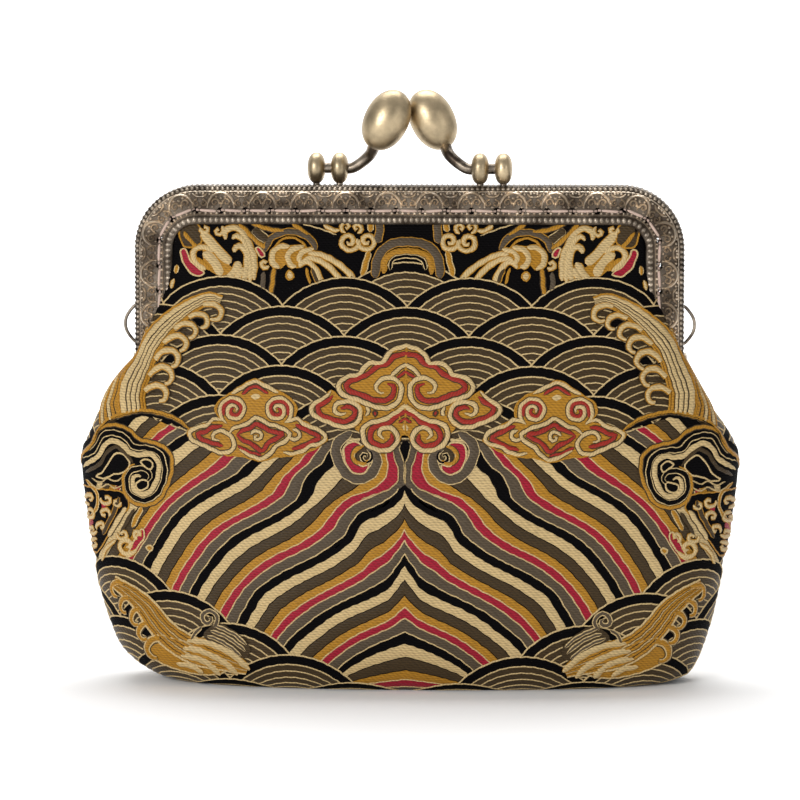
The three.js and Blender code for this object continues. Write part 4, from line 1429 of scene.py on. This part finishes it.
def channel_outline(settings):
    """The section of one half, as inset and depth: face band, inner rim, rounded edge and web"""
    edge, sheet, face, wide = FACE_ROUND, settings.sheet, settings.face, settings.band
    gap, inner = 0.25 * MM, 5.0 * MM
    rim_half, rim_rise = 0.9 * MM, 0.5 * MM
    return [
        *arc_points((wide - rim_half, face), (rim_half, rim_rise), 0, 180, 10),
        *arc_points((edge, face - edge), (edge, edge), 90, 180, 10),
        (0, gap), (inner, gap), (inner, gap + sheet), (sheet, gap + sheet),
        *arc_points((edge, face - edge), (edge - sheet, edge - sheet), 180, 90, 6),
        (wide, face - sheet),
    ]


def tube_faces(rows, sides):
    """Faces between rings of points, closed at both ends"""
    faces = []
    for i in range(rows - 1):
        for j in range(sides):
            k = (j + 1) % sides
            faces.append((i * sides + j, i * sides + k, (i + 1) * sides + k, (i + 1) * sides + j))
    faces.append(tuple(range(sides))[::-1])
    faces.append(tuple((rows - 1) * sides + j for j in range(sides)))
    return faces


def sweep_band(name, outline, material):
    """A section swept round the frame, with closed feet"""
    band_path = band()
    bend = np.linspace(0, band_path.bend, 25)
    half = np.concatenate([np.linspace(0, band_path.leg, 12, endpoint=False), band_path.leg + bend,
                           np.linspace(band_path.leg + band_path.bend, band_path.length / 2, 24)[1:]])
    stations = np.concatenate([half, (band_path.length - half[:-1])[::-1]])
    edge, inward = band_path.station(stations)
    section = np.array(outline)
    flat = edge[:, None, :] + inward[:, None, :] * section[None, :, :1]
    depth = np.broadcast_to(-section[:, 1], flat.shape[:2])
    points = np.stack([flat[..., 0], depth, flat[..., 1]], axis=2)
    piece = make_object(name, points.reshape(-1, 3), tube_faces(*points.shape[:2]), [material])
    outward_normals(piece)
    return piece


def outward_normals(piece):
    bm = bmesh.new()
    bm.from_mesh(piece.data)
    bmesh.ops.recalc_face_normals(bm, faces=bm.faces[:])
    bm.to_mesh(piece.data)
    bm.free()


def turned_piece(profile, centre, axis, material, segments=40):
    """A profile of (radius, height) turned about an axis"""
    angle = np.linspace(0, 2 * math.pi, segments, endpoint=False)
    lathe = Vector(axis).normalized().to_track_quat("Z", "Y").to_matrix()
    points = []
    for radius, height in profile:
        for a in angle:
            turned = lathe @ Vector((radius * math.cos(a), radius * math.sin(a), height))
            points.append(Vector(centre) + turned)
    return make_object("turned", points, tube_faces(len(profile), segments), [material])


def rod_piece(points, radius, material, name="rod", sides=20, step=0.4 * MM):
    """A round rod along a smooth curve through the points; radius may be a list of (share, size)"""
    points = np.asarray(points, float)
    path = smooth_path(points, step)
    share = np.linspace(0, 1, len(path))
    sizes = np.full(len(path), radius) if np.isscalar(radius) else np.interp(share, *radius)
    ahead = np.gradient(path, axis=0)
    ahead /= np.linalg.norm(ahead, axis=1, keepdims=True)
    side = np.cross(ahead[0], (0.3, 1.0, 0.2))
    rings = []
    for p, t, r in zip(path, ahead, sizes):
        side = side - t * side.dot(t)
        side /= np.linalg.norm(side)
        other = np.cross(t, side)
        angle = np.linspace(0, 2 * math.pi, sides, endpoint=False)[:, None]
        rings.append(p + r * (np.cos(angle) * side + np.sin(angle) * other))
    piece = make_object(name, np.vstack(rings), tube_faces(len(rings), sides), [material])
    outward_normals(piece)
    return piece


def join(pieces, name):
    """One object of several, each with its own materials"""
    bm = bmesh.new()
    materials = []
    for piece in pieces:
        first = len(bm.faces)
        bm.from_mesh(piece.data)
        bm.faces.ensure_lookup_table()
        for face in bm.faces[first:]:
            material = piece.data.materials[face.material_index]
            if material not in materials:
                materials.append(material)
            face.material_index = materials.index(material)
        bpy.data.objects.remove(piece)
    mesh = bpy.data.meshes.new(name)
    bm.to_mesh(mesh)
    bm.free()
    for material in materials:
        mesh.materials.append(material)
    return add_object(name, mesh)


def mirrored(piece, name):
    """A copy on the other side of the middle plane"""
    bm = bmesh.new()
    bm.from_mesh(piece.data)
    for vert in bm.verts:
        vert.co.y = -vert.co.y
    bmesh.ops.reverse_faces(bm, faces=bm.faces[:])
    mesh = bpy.data.meshes.new(name)
    bm.to_mesh(mesh)
    bm.free()
    for material in piece.data.materials:
        mesh.materials.append(material)
    return add_object(name, mesh)


def cut_out(piece, cutters):
    """Cuts holes through a piece and drops the cutters"""
    cutter = join(cutters, "cutter")
    outward_normals(cutter)
    cut = piece.modifiers.new("holes", "BOOLEAN")
    cut.operation = "DIFFERENCE"
    cut.solver = "EXACT"
    cut.use_self = True
    cut.object = cutter
    apply_modifiers(piece)
    bpy.data.objects.remove(cutter)


# How far a stitch may lean
STITCH_SLANT = math.radians(4)


def row_tree(thread):
    """Node tree: beads, or bowed stitches, in even steps along a path of edges"""
    tree = bpy.data.node_groups.new("stitches_on_path" if thread else "beads_on_path", "GeometryNodeTree")
    nodes = Nodes(tree)
    sockets = [("Geometry", "NodeSocketGeometry"), ("Count", "NodeSocketInt"), ("Across", "NodeSocketFloat"),
               ("Depth", "NodeSocketFloat"), ("Along", "NodeSocketFloat"), ("Slant", "NodeSocketFloat"),
               ("Material", "NodeSocketMaterial")]
    for name, kind in sockets:
        tree.interface.new_socket(name, in_out="INPUT", socket_type=kind)
    tree.interface.new_socket("Geometry", in_out="OUTPUT", socket_type="NodeSocketGeometry")
    given = nodes.add("NodeGroupInput").outputs
    curve = nodes.add("GeometryNodeMeshToCurve", {0: given["Geometry"]}).outputs[0]
    spots = nodes.add("GeometryNodeCurveToPoints", {"Curve": curve, "Count": given["Count"]}, mode="COUNT")
    aim = nodes.add("FunctionNodeAxesToRotation", {0: spots.outputs["Tangent"], 1: (0, 1, 0)},
                    primary_axis="Z", secondary_axis="Y")
    if thread:
        halfway = nodes.math("MULTIPLY", given["Along"], 0.5)
        start = nodes.add("ShaderNodeCombineXYZ", {1: given["Depth"], 2: nodes.math("MULTIPLY", halfway, -1)})
        end = nodes.add("ShaderNodeCombineXYZ", {1: given["Depth"], 2: halfway})
        bow = nodes.add("ShaderNodeCombineXYZ", {1: nodes.math("MULTIPLY", given["Depth"], -1)})
        arc = nodes.add("GeometryNodeCurveQuadraticBezier",
                        {"Resolution": 12, "Start": start.outputs[0], "Middle": bow.outputs[0],
                         "End": end.outputs[0]})
        ring = nodes.add("GeometryNodeCurvePrimitiveCircle", {"Resolution": 10, "Radius": given["Across"]})
        shape = nodes.add("GeometryNodeCurveToMesh",
                          {"Curve": arc.outputs[0], "Profile Curve": ring.outputs[0], "Fill Caps": True})
        size = (1, 1, 1)
        tilt = nodes.add("FunctionNodeRandomValue",
                         {2: nodes.math("MULTIPLY", given["Slant"], -1), 3: given["Slant"], "Seed": 3},
                         data_type="FLOAT")
        askew = nodes.add("FunctionNodeAxisAngleToRotation", {"Axis": (0, 1, 0), "Angle": tilt.outputs[1]})
        aim = nodes.add("FunctionNodeRotateRotation", {0: aim.outputs[0], 1: askew.outputs[0]},
                        rotation_space="LOCAL")
    else:
        shape = nodes.add("GeometryNodeMeshUVSphere", {"Segments": 10, "Rings": 6, "Radius": 0.5})
        size = nodes.add("ShaderNodeCombineXYZ", {0: given["Across"], 1: given["Depth"], 2: given["Along"]})
        size = size.outputs[0]
    row = nodes.add("GeometryNodeInstanceOnPoints",
                    {"Points": spots.outputs["Points"], "Instance": shape.outputs[0],
                     "Rotation": aim.outputs[0], "Scale": size})
    plain = nodes.add("GeometryNodeRealizeInstances", {0: row.outputs[0]})
    dyed = nodes.add("GeometryNodeSetMaterial", {0: plain.outputs[0], "Material": given["Material"]})
    output = nodes.add("NodeGroupOutput")
    tree.links.new(dyed.outputs[0], output.inputs[0])
    return tree


def row_piece(name, path, count, across, depth, along, material, thread=False):
    """Beads or stitches along a path of points"""
    tree_name = "stitches_on_path" if thread else "beads_on_path"
    tree = bpy.data.node_groups.get(tree_name) or row_tree(thread)
    mesh = bpy.data.meshes.new(name)
    mesh.from_pydata([tuple(p) for p in path], [(i, i + 1) for i in range(len(path) - 1)], [])
    piece = add_object(name, mesh)
    row = piece.modifiers.new("row", "NODES")
    row.node_group = tree
    values = {"Count": count, "Across": across, "Depth": depth, "Along": along, "Slant": STITCH_SLANT,
              "Material": material}
    for item in tree.interface.items_tree:
        if item.in_out == "INPUT" and item.name in values:
            row[item.identifier] = values[item.name]
    apply_modifiers(piece)
    return piece


def band_line(inset, lift, start=0.0, end=None, steps=400):
    """A line round the front face at an inset"""
    end = band().length if end is None else end
    s = np.linspace(start, end, steps)
    return band().place(s, np.full_like(s, inset), np.full_like(s, lift))


def sewing_places(settings):
    """Where the sewing holes are, as s on the middle line"""
    bend = settings.corner - settings.hole_inset
    arc = math.pi / 2 * bend
    leg, top = band().leg, band().top
    whole = 2 * (leg + arc) + top
    count = round(whole / settings.stitch_pitch)
    places = []
    for i in range(count):
        along = (i + 0.5) * whole / count
        half = min(along, whole - along)
        past_leg = min(half - leg, arc) * band().bend / arc + max(0, half - leg - arc)
        stretched = half if half < leg else leg + past_leg
        places.append(stretched if along <= whole / 2 else band().length - stretched)
    return np.array(places)


# The relief of the face. One motif is a heart of two scrolls with a rosette of dots at each side.
# Places are in millimetres: along from the motif's middle, and out from the relief's inner edge.
SCROLLS = [
    {"centre": (1.25, 1.15), "radius": 0.95, "start": 200, "turns": -1.15, "width": 0.58},
    {"centre": (3.85, 1.0), "radius": 0.82, "start": 80, "turns": 1.15, "width": 0.54},
]
LEAVES = [
    {"points": arc_points((0, 0.0), (2.95, 3.3), 0, 90, 9), "width": 0.8},
    {"points": [(0, 0.1), (0.12, 0.6), (0.0, 1.2)], "width": 0.6},
    {"points": [(3.0, 3.2), (3.6, 2.55), (4.6, 2.35)], "width": 0.6},
]
DOTS = [
    {"centre": (0.0, 2.15), "radius": 0.42}, {"centre": (0.95, 2.4), "radius": 0.3},
    {"centre": (3.9, 3.15), "radius": 0.38}, {"centre": (4.5, 3.2), "radius": 0.24},
    {"centre": (2.5, 3.0), "radius": 0.3}, {"centre": (1.7, 3.35), "radius": 0.26},
    {"centre": (4.5, 0.15), "radius": 0.24}, {"centre": (2.95, 0.15), "radius": 0.3},
    {"centre": (1.9, 0.2), "radius": 0.26}, {"centre": (0.9, -1.15), "radius": 0.38},
    {"centre": (2.1, -1.15), "radius": 0.3}, {"centre": (3.3, -1.15), "radius": 0.38},
    {"centre": (4.5, -1.15), "radius": 0.26},
]
MOTIF = 9.2 * MM
RELIEF_INNER = 4.75 * MM
RELIEF_LIFT = -0.05 * MM
SCROLL_HEIGHT = 0.66 * MM
LEAF_HEIGHT = 0.62 * MM
DOT_HEIGHT = 0.46 * MM
BORDER = {"insets": (1.2 * MM, 6.25 * MM), "width": 0.34 * MM, "height": 0.3 * MM, "steps": 300}

# Rows along the frame. A size is across the frame, out from its face and along the row.
BEAD_ROWS = [
    {"name": "knurl", "inset": 0.68 * MM, "lift": -0.1 * MM, "start": 0.0, "count": 172,
     "size": (0.8 * MM, 0.9 * MM, 0.85 * MM), "finish": "beads"},
    {"name": "knurl_edge", "inset": 0.14 * MM, "lift": -0.15 * MM, "start": 0.57 * MM, "count": 171,
     "size": (0.58 * MM, 1.6 * MM, 0.72 * MM), "finish": "rod"},
    {"name": "milling", "inset": 7.4 * MM, "lift": 0.25 * MM, "start": 0.0, "count": 140,
     "size": (1.3 * MM, 0.95 * MM, 1.05 * MM), "finish": "beads"},
]
HOLE_PLUG = [(0.75 * MM, -1.6 * MM), (0.75 * MM, 1.6 * MM)]


def face_relief(work):
    count = round(band().length / MOTIF)
    pitch = band().length / count
    stretch = pitch / MOTIF
    for i in range(count):
        middle = (i + 0.5) * pitch
        for sign in (-1, 1):

            def spot(point):
                return np.array((middle + sign * point[0] * stretch * MM, RELIEF_INNER - point[1] * MM))

            for scroll in SCROLLS:
                wound = spiral_path(scroll["centre"], scroll["radius"], scroll["start"], scroll["turns"],
                                    0.2, 26)
                path = even_path(np.array([spot(p) for p in wound]), 0.25 * MM)
                work.ribbon(path, scroll["width"] * MM, "crest", RELIEF_LIFT, SCROLL_HEIGHT, "metal",
                            mirror=False, taper=([0, 0.7, 1], [1, 0.85, 0.6]))
            for leaf in LEAVES:
                if sign < 0 and max(p[0] for p in leaf["points"]) < 0.2:
                    continue
                path = smooth_path(np.array([spot(p) for p in leaf["points"]]), 0.25 * MM)
                work.ribbon(path, leaf["width"] * MM, "crest", RELIEF_LIFT, LEAF_HEIGHT, "metal",
                            mirror=False, taper=([0, 0.3, 1], [0.5, 1, 0.85]))
            for dot in DOTS:
                work.dome(spot(dot["centre"]), dot["radius"] * MM, RELIEF_LIFT, DOT_HEIGHT, "crest", "metal")
    s = np.linspace(0, band().length, BORDER["steps"])
    for inset in BORDER["insets"]:
        path = np.stack([s, np.full_like(s, inset)], axis=1)
        work.ribbon(path, BORDER["width"], "crest", RELIEF_LIFT, BORDER["height"], "metal", mirror=False)


# The front's hinge ears lie outside the back's
HINGE = FRAME_FOOT + 3.4 * MM
EAR_STEP = 1.15 * MM
EAR_PROFILE = [(0.2 * MM, -0.8 * MM), (3.2 * MM, -0.8 * MM), (3.4 * MM, -0.6 * MM), (3.4 * MM, -0.15 * MM),
               (3.2 * MM, 0), (0.2 * MM, 0)]


def hinge_ears(inset):
    ears = []
    for side in (-1, 1):
        place = Vector((side * (FRAME_HALF - inset), 0, HINGE))
        ears.append(turned_piece(EAR_PROFILE, place, (side, 0, 0), antique()["ground"], segments=48))
        outward_normals(ears[-1])
    return ears


class PURSE_OT_frame(bpy.types.Operator):
    """Makes the two halves of the metal frame, with their relief"""
    bl_idname = "purse.frame"
    bl_label = "Metal frame"

    def execute(self, context):
        settings = context.scene.purse_metal
        metals = antique()
        channel = sweep_band("frame_front_band", channel_outline(settings), metals["ground"])
        places = sewing_places(settings)
        spots = band().place(places, np.full_like(places, settings.hole_inset), np.zeros_like(places))
        cut_out(channel, [turned_piece(HOLE_PLUG, spot, (0, 1, 0), metals["ground"], 16) for spot in spots])
        work = Needlework(band())
        face_relief(work)
        relief = work.relief("relief")
        rim = [
            row_piece(row["name"], band_line(row["inset"], row["lift"], row["start"]), row["count"],
                      *row["size"], metals[row["finish"]])
            for row in BEAD_ROWS
        ]
        front = join([channel, relief, *rim], "frame_front_plain")
        back = mirrored(front, "frame_back_plain")
        front = join([front, *hinge_ears(0.0)], "frame_front_metal")
        back = join([back, *hinge_ears(EAR_STEP)], "frame_back_metal")
        for piece, name in ((front, "frame_front"), (back, "frame_back")):
            shade(piece, 35)
            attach(piece, "root")
            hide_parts(name)
        return {"FINISHED"}


STITCH = {"lift": 0.15 * MM, "radius": 0.31 * MM, "deep": 0.9 * MM, "between": 0.5 * MM}


class PURSE_OT_stitches(bpy.types.Operator):
    """Sews the cloth to the frame"""
    bl_idname = "purse.stitches"
    bl_label = "Stitches"

    def execute(self, context):
        settings = context.scene.purse_metal
        places = sewing_places(settings)
        half = (places[1] - places[0]) / 2
        path = band_line(settings.hole_inset, STITCH["lift"], places[0] + half, places[-1] - half)
        front = row_piece("stitches_front", path, len(places) - 1, STITCH["radius"], STITCH["deep"],
                          settings.stitch_pitch - STITCH["between"], silk("thread", "cord"), thread=True)
        for piece in (front, mirrored(front, "stitches_back")):
            shade(piece, 60)
            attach(piece, "root")
        return {"FINISHED"}


# The clasp. Distances are aside from the middle, back from the arm's own side, and up from the top
# of the frame.
BARRELS = [15.5 * MM, 20.6 * MM]
BARREL_RISE = 3.7 * MM
BARREL_RADIUS = 3.4 * MM
BARREL_HALF = 1.95 * MM
ARM_DEPTH = 2.7 * MM
ROD_RADIUS = 1.15 * MM
KNOB = {"aside": 4.95 * MM, "rise": 14.3 * MM, "cross": 2.1 * MM, "short": 4.85 * MM, "long": 6.95 * MM}
KNOB_LEAN = math.radians(27)

# Radius and height of the turned parts
PIN_SHAFT = [(0.75 * MM, -1.3 * MM), (0.75 * MM, 1.2 * MM)]
PIN_HEAD = [(0.05 * MM, -1.7 * MM), (1.3 * MM, -1.65 * MM), (1.3 * MM, -1.15 * MM), (0.05 * MM, -1.1 * MM)]
COLLAR = [(0.3 * MM, -0.5 * MM), (1.7 * MM, -0.45 * MM), (2.0 * MM, -0.1 * MM), (2.1 * MM, 0.35 * MM),
          (1.6 * MM, 0.7 * MM)]


def ball_profile(radius, half, steps, power):
    """Radius and height along a rounded body from one end to the other"""
    angle = np.radians(np.linspace(-90, 90, steps))
    return [(max(radius * abs(math.cos(a)) ** (2 / power), 0.01 * MM),
             half * math.copysign(abs(math.sin(a)) ** (2 / power), a)) for a in angle]


def clasp_arm(name, facing):
    """An arm with its two barrels, bent rod and knob. facing is -1 where it stands on the front half."""
    metals = antique()
    side = -facing

    def at(aside, depth, rise):
        return Vector((side * aside, facing * depth, FRAME_TOP + rise))

    pieces = []
    barrel = ball_profile(BARREL_RADIUS, BARREL_HALF, 31, 2.35)
    for aside in BARRELS:
        pieces.append(turned_piece(barrel, at(aside, ARM_DEPTH, BARREL_RISE), (1, 0, 0), metals["knob"]))
        foot = at(aside, ARM_DEPTH, 0)
        for profile in (PIN_SHAFT, PIN_HEAD):
            pieces.append(turned_piece(profile, foot, (0, 0, 1), metals["rod"], 20))
    lean = Vector((-side * math.sin(KNOB_LEAN), 0, math.cos(KNOB_LEAN)))
    knob = at(KNOB["aside"], -KNOB["cross"], KNOB["rise"])
    egg = ball_profile(KNOB["short"], KNOB["long"], 41, 2.08)
    pieces.append(turned_piece(egg, knob, lean, metals["knob"], 56))
    root = knob - lean * KNOB["long"] * 0.8
    bend_aside = abs(root.x) + 1.4 * MM
    middle_rise = (BARREL_RISE + root.z - FRAME_TOP) / 2
    route = [
        at(BARRELS[1] - 0.8 * MM, ARM_DEPTH, BARREL_RISE),
        at(BARRELS[0], ARM_DEPTH, BARREL_RISE),
        at((BARRELS[0] + abs(root.x)) / 2 + 1.0 * MM, ARM_DEPTH * 0.9, BARREL_RISE + 0.1 * MM),
        at(bend_aside, ARM_DEPTH * 0.35, middle_rise),
        root,
        root + lean * 2 * MM,
    ]
    sizes = ([0, 0.3, 0.75, 1], [ROD_RADIUS, ROD_RADIUS, ROD_RADIUS * 1.12, ROD_RADIUS * 1.3])
    pieces.append(rod_piece(route, sizes, metals["rod"]))
    pieces.append(turned_piece(COLLAR, root - lean * 0.25 * MM, lean, metals["rod"]))
    arm = join(pieces, f"arm_{name}")
    outward_normals(arm)
    return arm


class PURSE_OT_clasp(bpy.types.Operator):
    """Makes the two arms of the clasp"""
    bl_idname = "purse.clasp"
    bl_label = "Clasp"

    def execute(self, context):
        for name, facing in (("right", -1), ("left", 1)):
            arm = clasp_arm(name, facing)
            shade(arm, 45)
            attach(arm, "root")
            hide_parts(f"clasp_arm_{name}")
        return {"FINISHED"}


# Radius and height of a rivet's parts, out from the frame's side
RIVET_OUT = 0.3 * MM
RIVET_PARTS = [
    [(1.1 * MM, -3.2 * MM), (1.1 * MM, 0.1 * MM)],
    [(2.1 * MM, 0), (2.1 * MM, 0.2 * MM), (1.8 * MM, 0.45 * MM), (1.0 * MM, 0.58 * MM), (0.1 * MM, 0.6 * MM)],
    [(2.1 * MM, -3.1 * MM), (2.1 * MM, -2.6 * MM)],
]

# A wire loop's course in millimetres: in from the frame's side, and up from the loop's middle
LOOP_WIRE = [(1.45, -2.5), (1.45, -3.3), (1.27, -4.1), (0, -4.1), (-0.96, -3.28), (-2.06, -1.64), (-2.4, 0),
             (-2.06, 1.64), (-0.96, 3.28), (0, 4.1), (1.27, 4.1), (1.45, 3.3), (1.45, 2.5)]
LOOP_MIDDLE = HINGE + 8.3 * MM
LOOP_DEPTH = 2.2 * MM
LOOP_RADIUS = 0.35 * MM


class PURSE_OT_hinges(bpy.types.Operator):
    """Makes the hinge rivets and the wire loops"""
    bl_idname = "purse.hinges"
    bl_label = "Hinges and loops"

    def execute(self, context):
        metals = antique()
        for name, side in (("left", -1), ("right", 1)):
            start = Vector((side * (FRAME_HALF + RIVET_OUT), 0, HINGE))
            parts = [turned_piece(profile, start, (side, 0, 0), metals["crest"], 32)
                     for profile in RIVET_PARTS]
            rivet = join(parts, f"rivet_{name}")
            outward_normals(rivet)
            route = [(side * (FRAME_HALF - inset * MM), -LOOP_DEPTH, LOOP_MIDDLE + up * MM)
                     for inset, up in LOOP_WIRE]
            loop = rod_piece(route, LOOP_RADIUS, metals["rod"], f"loop_{name}", sides=14, step=0.3 * MM)
            finished = ((rivet, "frame_metal", "hinge_rivet"), (loop, "wire_metal", "chain_loop"))
            for piece, slot, node in finished:
                shade(piece, 40)
                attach(piece, "root")
                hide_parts(f"{node}_{name}")
        return {"FINISHED"}


# The stage

# The paper lies flat, bends up behind the purse and glows more and more from one depth to another: painted
# light from its own emission, which whitens the backdrop behind the purse.
PAPER = {"half": 3.0, "front": -2.0, "flat_end": 1.2, "bend": 0.5, "top": 3.0}
PAINTED_GLOW = {"start": 0.12, "end": 0.9, "strength": 0.65}
ROOM_LIGHT = 0.38
LAMP_TARGET = (0, 0, 0.06)
LAMPS = [
    {"name": "key", "place": (-0.55, -1.0, 0.38), "size": (0.4, 0.4), "power": 8},
    {"name": "fill", "place": (0.9, -0.9, 0.3), "size": (0.6, 0.6), "power": 1.5},
    {"name": "top", "place": (-0.05, 0.34, 1.0), "size": (0.9, 0.6), "power": 8},
]


def area_light(name, place, size, power):
    data = bpy.data.lights.new(name, "AREA")
    data.shape = "RECTANGLE"
    data.size, data.size_y = size
    data.energy = power
    lamp = add_object(name, data)
    lamp.location = place
    lamp.rotation_euler = (Vector(LAMP_TARGET) - Vector(place)).to_track_quat("-Z", "Y").to_euler()


def paper_material(settings):
    material, nodes, shader = new_material("paper")
    shader.inputs["Base Color"].default_value = rgba(settings.floor)
    shader.inputs["Roughness"].default_value = 0.9
    # Painted light: the paper's emission grows with depth and whitens the backdrop
    shader.inputs["Emission Color"].default_value = (1, 1, 1, 1)
    place = nodes.add("ShaderNodeTexCoord").outputs["Object"]
    depth = nodes.add("ShaderNodeSeparateXYZ", {0: place}).outputs[1]
    rise = {0: depth, 1: PAINTED_GLOW["start"], 2: PAINTED_GLOW["end"], 3: 0.0, 4: PAINTED_GLOW["strength"]}
    nodes.put(shader.inputs["Emission Strength"], nodes.add("ShaderNodeMapRange", rise).outputs[0])
    return material


def paper_floor(settings):
    """A sheet that lies flat and bends up behind"""
    flat_end, bend = PAPER["flat_end"], PAPER["bend"]
    turn = np.radians(np.linspace(0, 90, 16))
    curve = [(flat_end + bend * math.sin(a), bend - bend * math.cos(a)) for a in turn]
    profile = [(PAPER["front"], 0.0), *curve, (flat_end + bend, PAPER["top"])]
    points = [(x, y, z) for y, z in profile for x in (-PAPER["half"], PAPER["half"])]
    faces = [(2 * i, 2 * i + 1, 2 * i + 3, 2 * i + 2) for i in range(len(profile) - 1)]
    floor = make_object("floor", points, faces, [paper_material(settings)])
    shade(floor, 60)


def photo_camera(settings):
    """A camera that sees the chart's squares full size in its frame"""
    data = bpy.data.cameras.new("camera")
    camera = add_object("camera", data)
    away = Vector(view_axes(settings)[2])
    camera.location = Vector(AIM) + away * settings.camera_distance
    camera.rotation_euler = (-away).to_track_quat("-Z", "Y").to_euler()
    data.sensor_width = 36
    view_width = CHART_SIZE * CHART_SQUARE
    data.lens = data.sensor_width * (settings.camera_distance - CHART_DEPTH) / view_width
    return camera


class PURSE_OT_stage(bpy.types.Operator):
    """Sets up the floor, the light and the camera"""
    bl_idname = "purse.stage"
    bl_label = "Stage"

    def execute(self, context):
        scene = context.scene
        settings = scene.purse_stage
        paper_floor(settings)
        world = bpy.data.worlds.new("studio")
        world.use_nodes = True
        world.node_tree.nodes["Background"].inputs[0].default_value = (1, 1, 1, 1)
        world.node_tree.nodes["Background"].inputs[1].default_value = ROOM_LIGHT
        scene.world = world
        for lamp in LAMPS:
            area_light(**lamp)
        scene.camera = photo_camera(settings)
        scene.view_settings.view_transform = "Standard"
        return {"FINISHED"}


class PURSE_PT_panel(bpy.types.Panel):
    """Lists the purse's pieces"""
    bl_label = "Purse"
    bl_space_type = "VIEW_3D"
    bl_region_type = "UI"
    bl_category = "Purse"

    def draw(self, context):
        for operator in OPERATORS:
            self.layout.operator(operator.bl_idname)


SETTINGS = {
    "purse_cloth": ClothSettings,
    "purse_colours": ThreadColours,
    "purse_metal": MetalSettings,
    "purse_stage": StageSettings,
}
OPERATORS = [
    PURSE_OT_stage, PURSE_OT_panels, PURSE_OT_fans, PURSE_OT_stripes, PURSE_OT_clouds, PURSE_OT_foam,
    PURSE_OT_frame, PURSE_OT_stitches, PURSE_OT_clasp, PURSE_OT_hinges,
]
CLASSES = [*SETTINGS.values(), *OPERATORS, PURSE_PT_panel]


def register():
    for cls in CLASSES:
        bpy.utils.register_class(cls)
    for name, cls in SETTINGS.items():
        setattr(bpy.types.Scene, name, bpy.props.PointerProperty(type=cls))


def unregister():
    for name in SETTINGS:
        delattr(bpy.types.Scene, name)
    for cls in reversed(CLASSES):
        bpy.utils.unregister_class(cls)


def main():
    register()
    for operator in OPERATORS:
        group, name = operator.bl_idname.split(".")
        getattr(getattr(bpy.ops, group), name)()


if __name__ == "__main__":
    main()
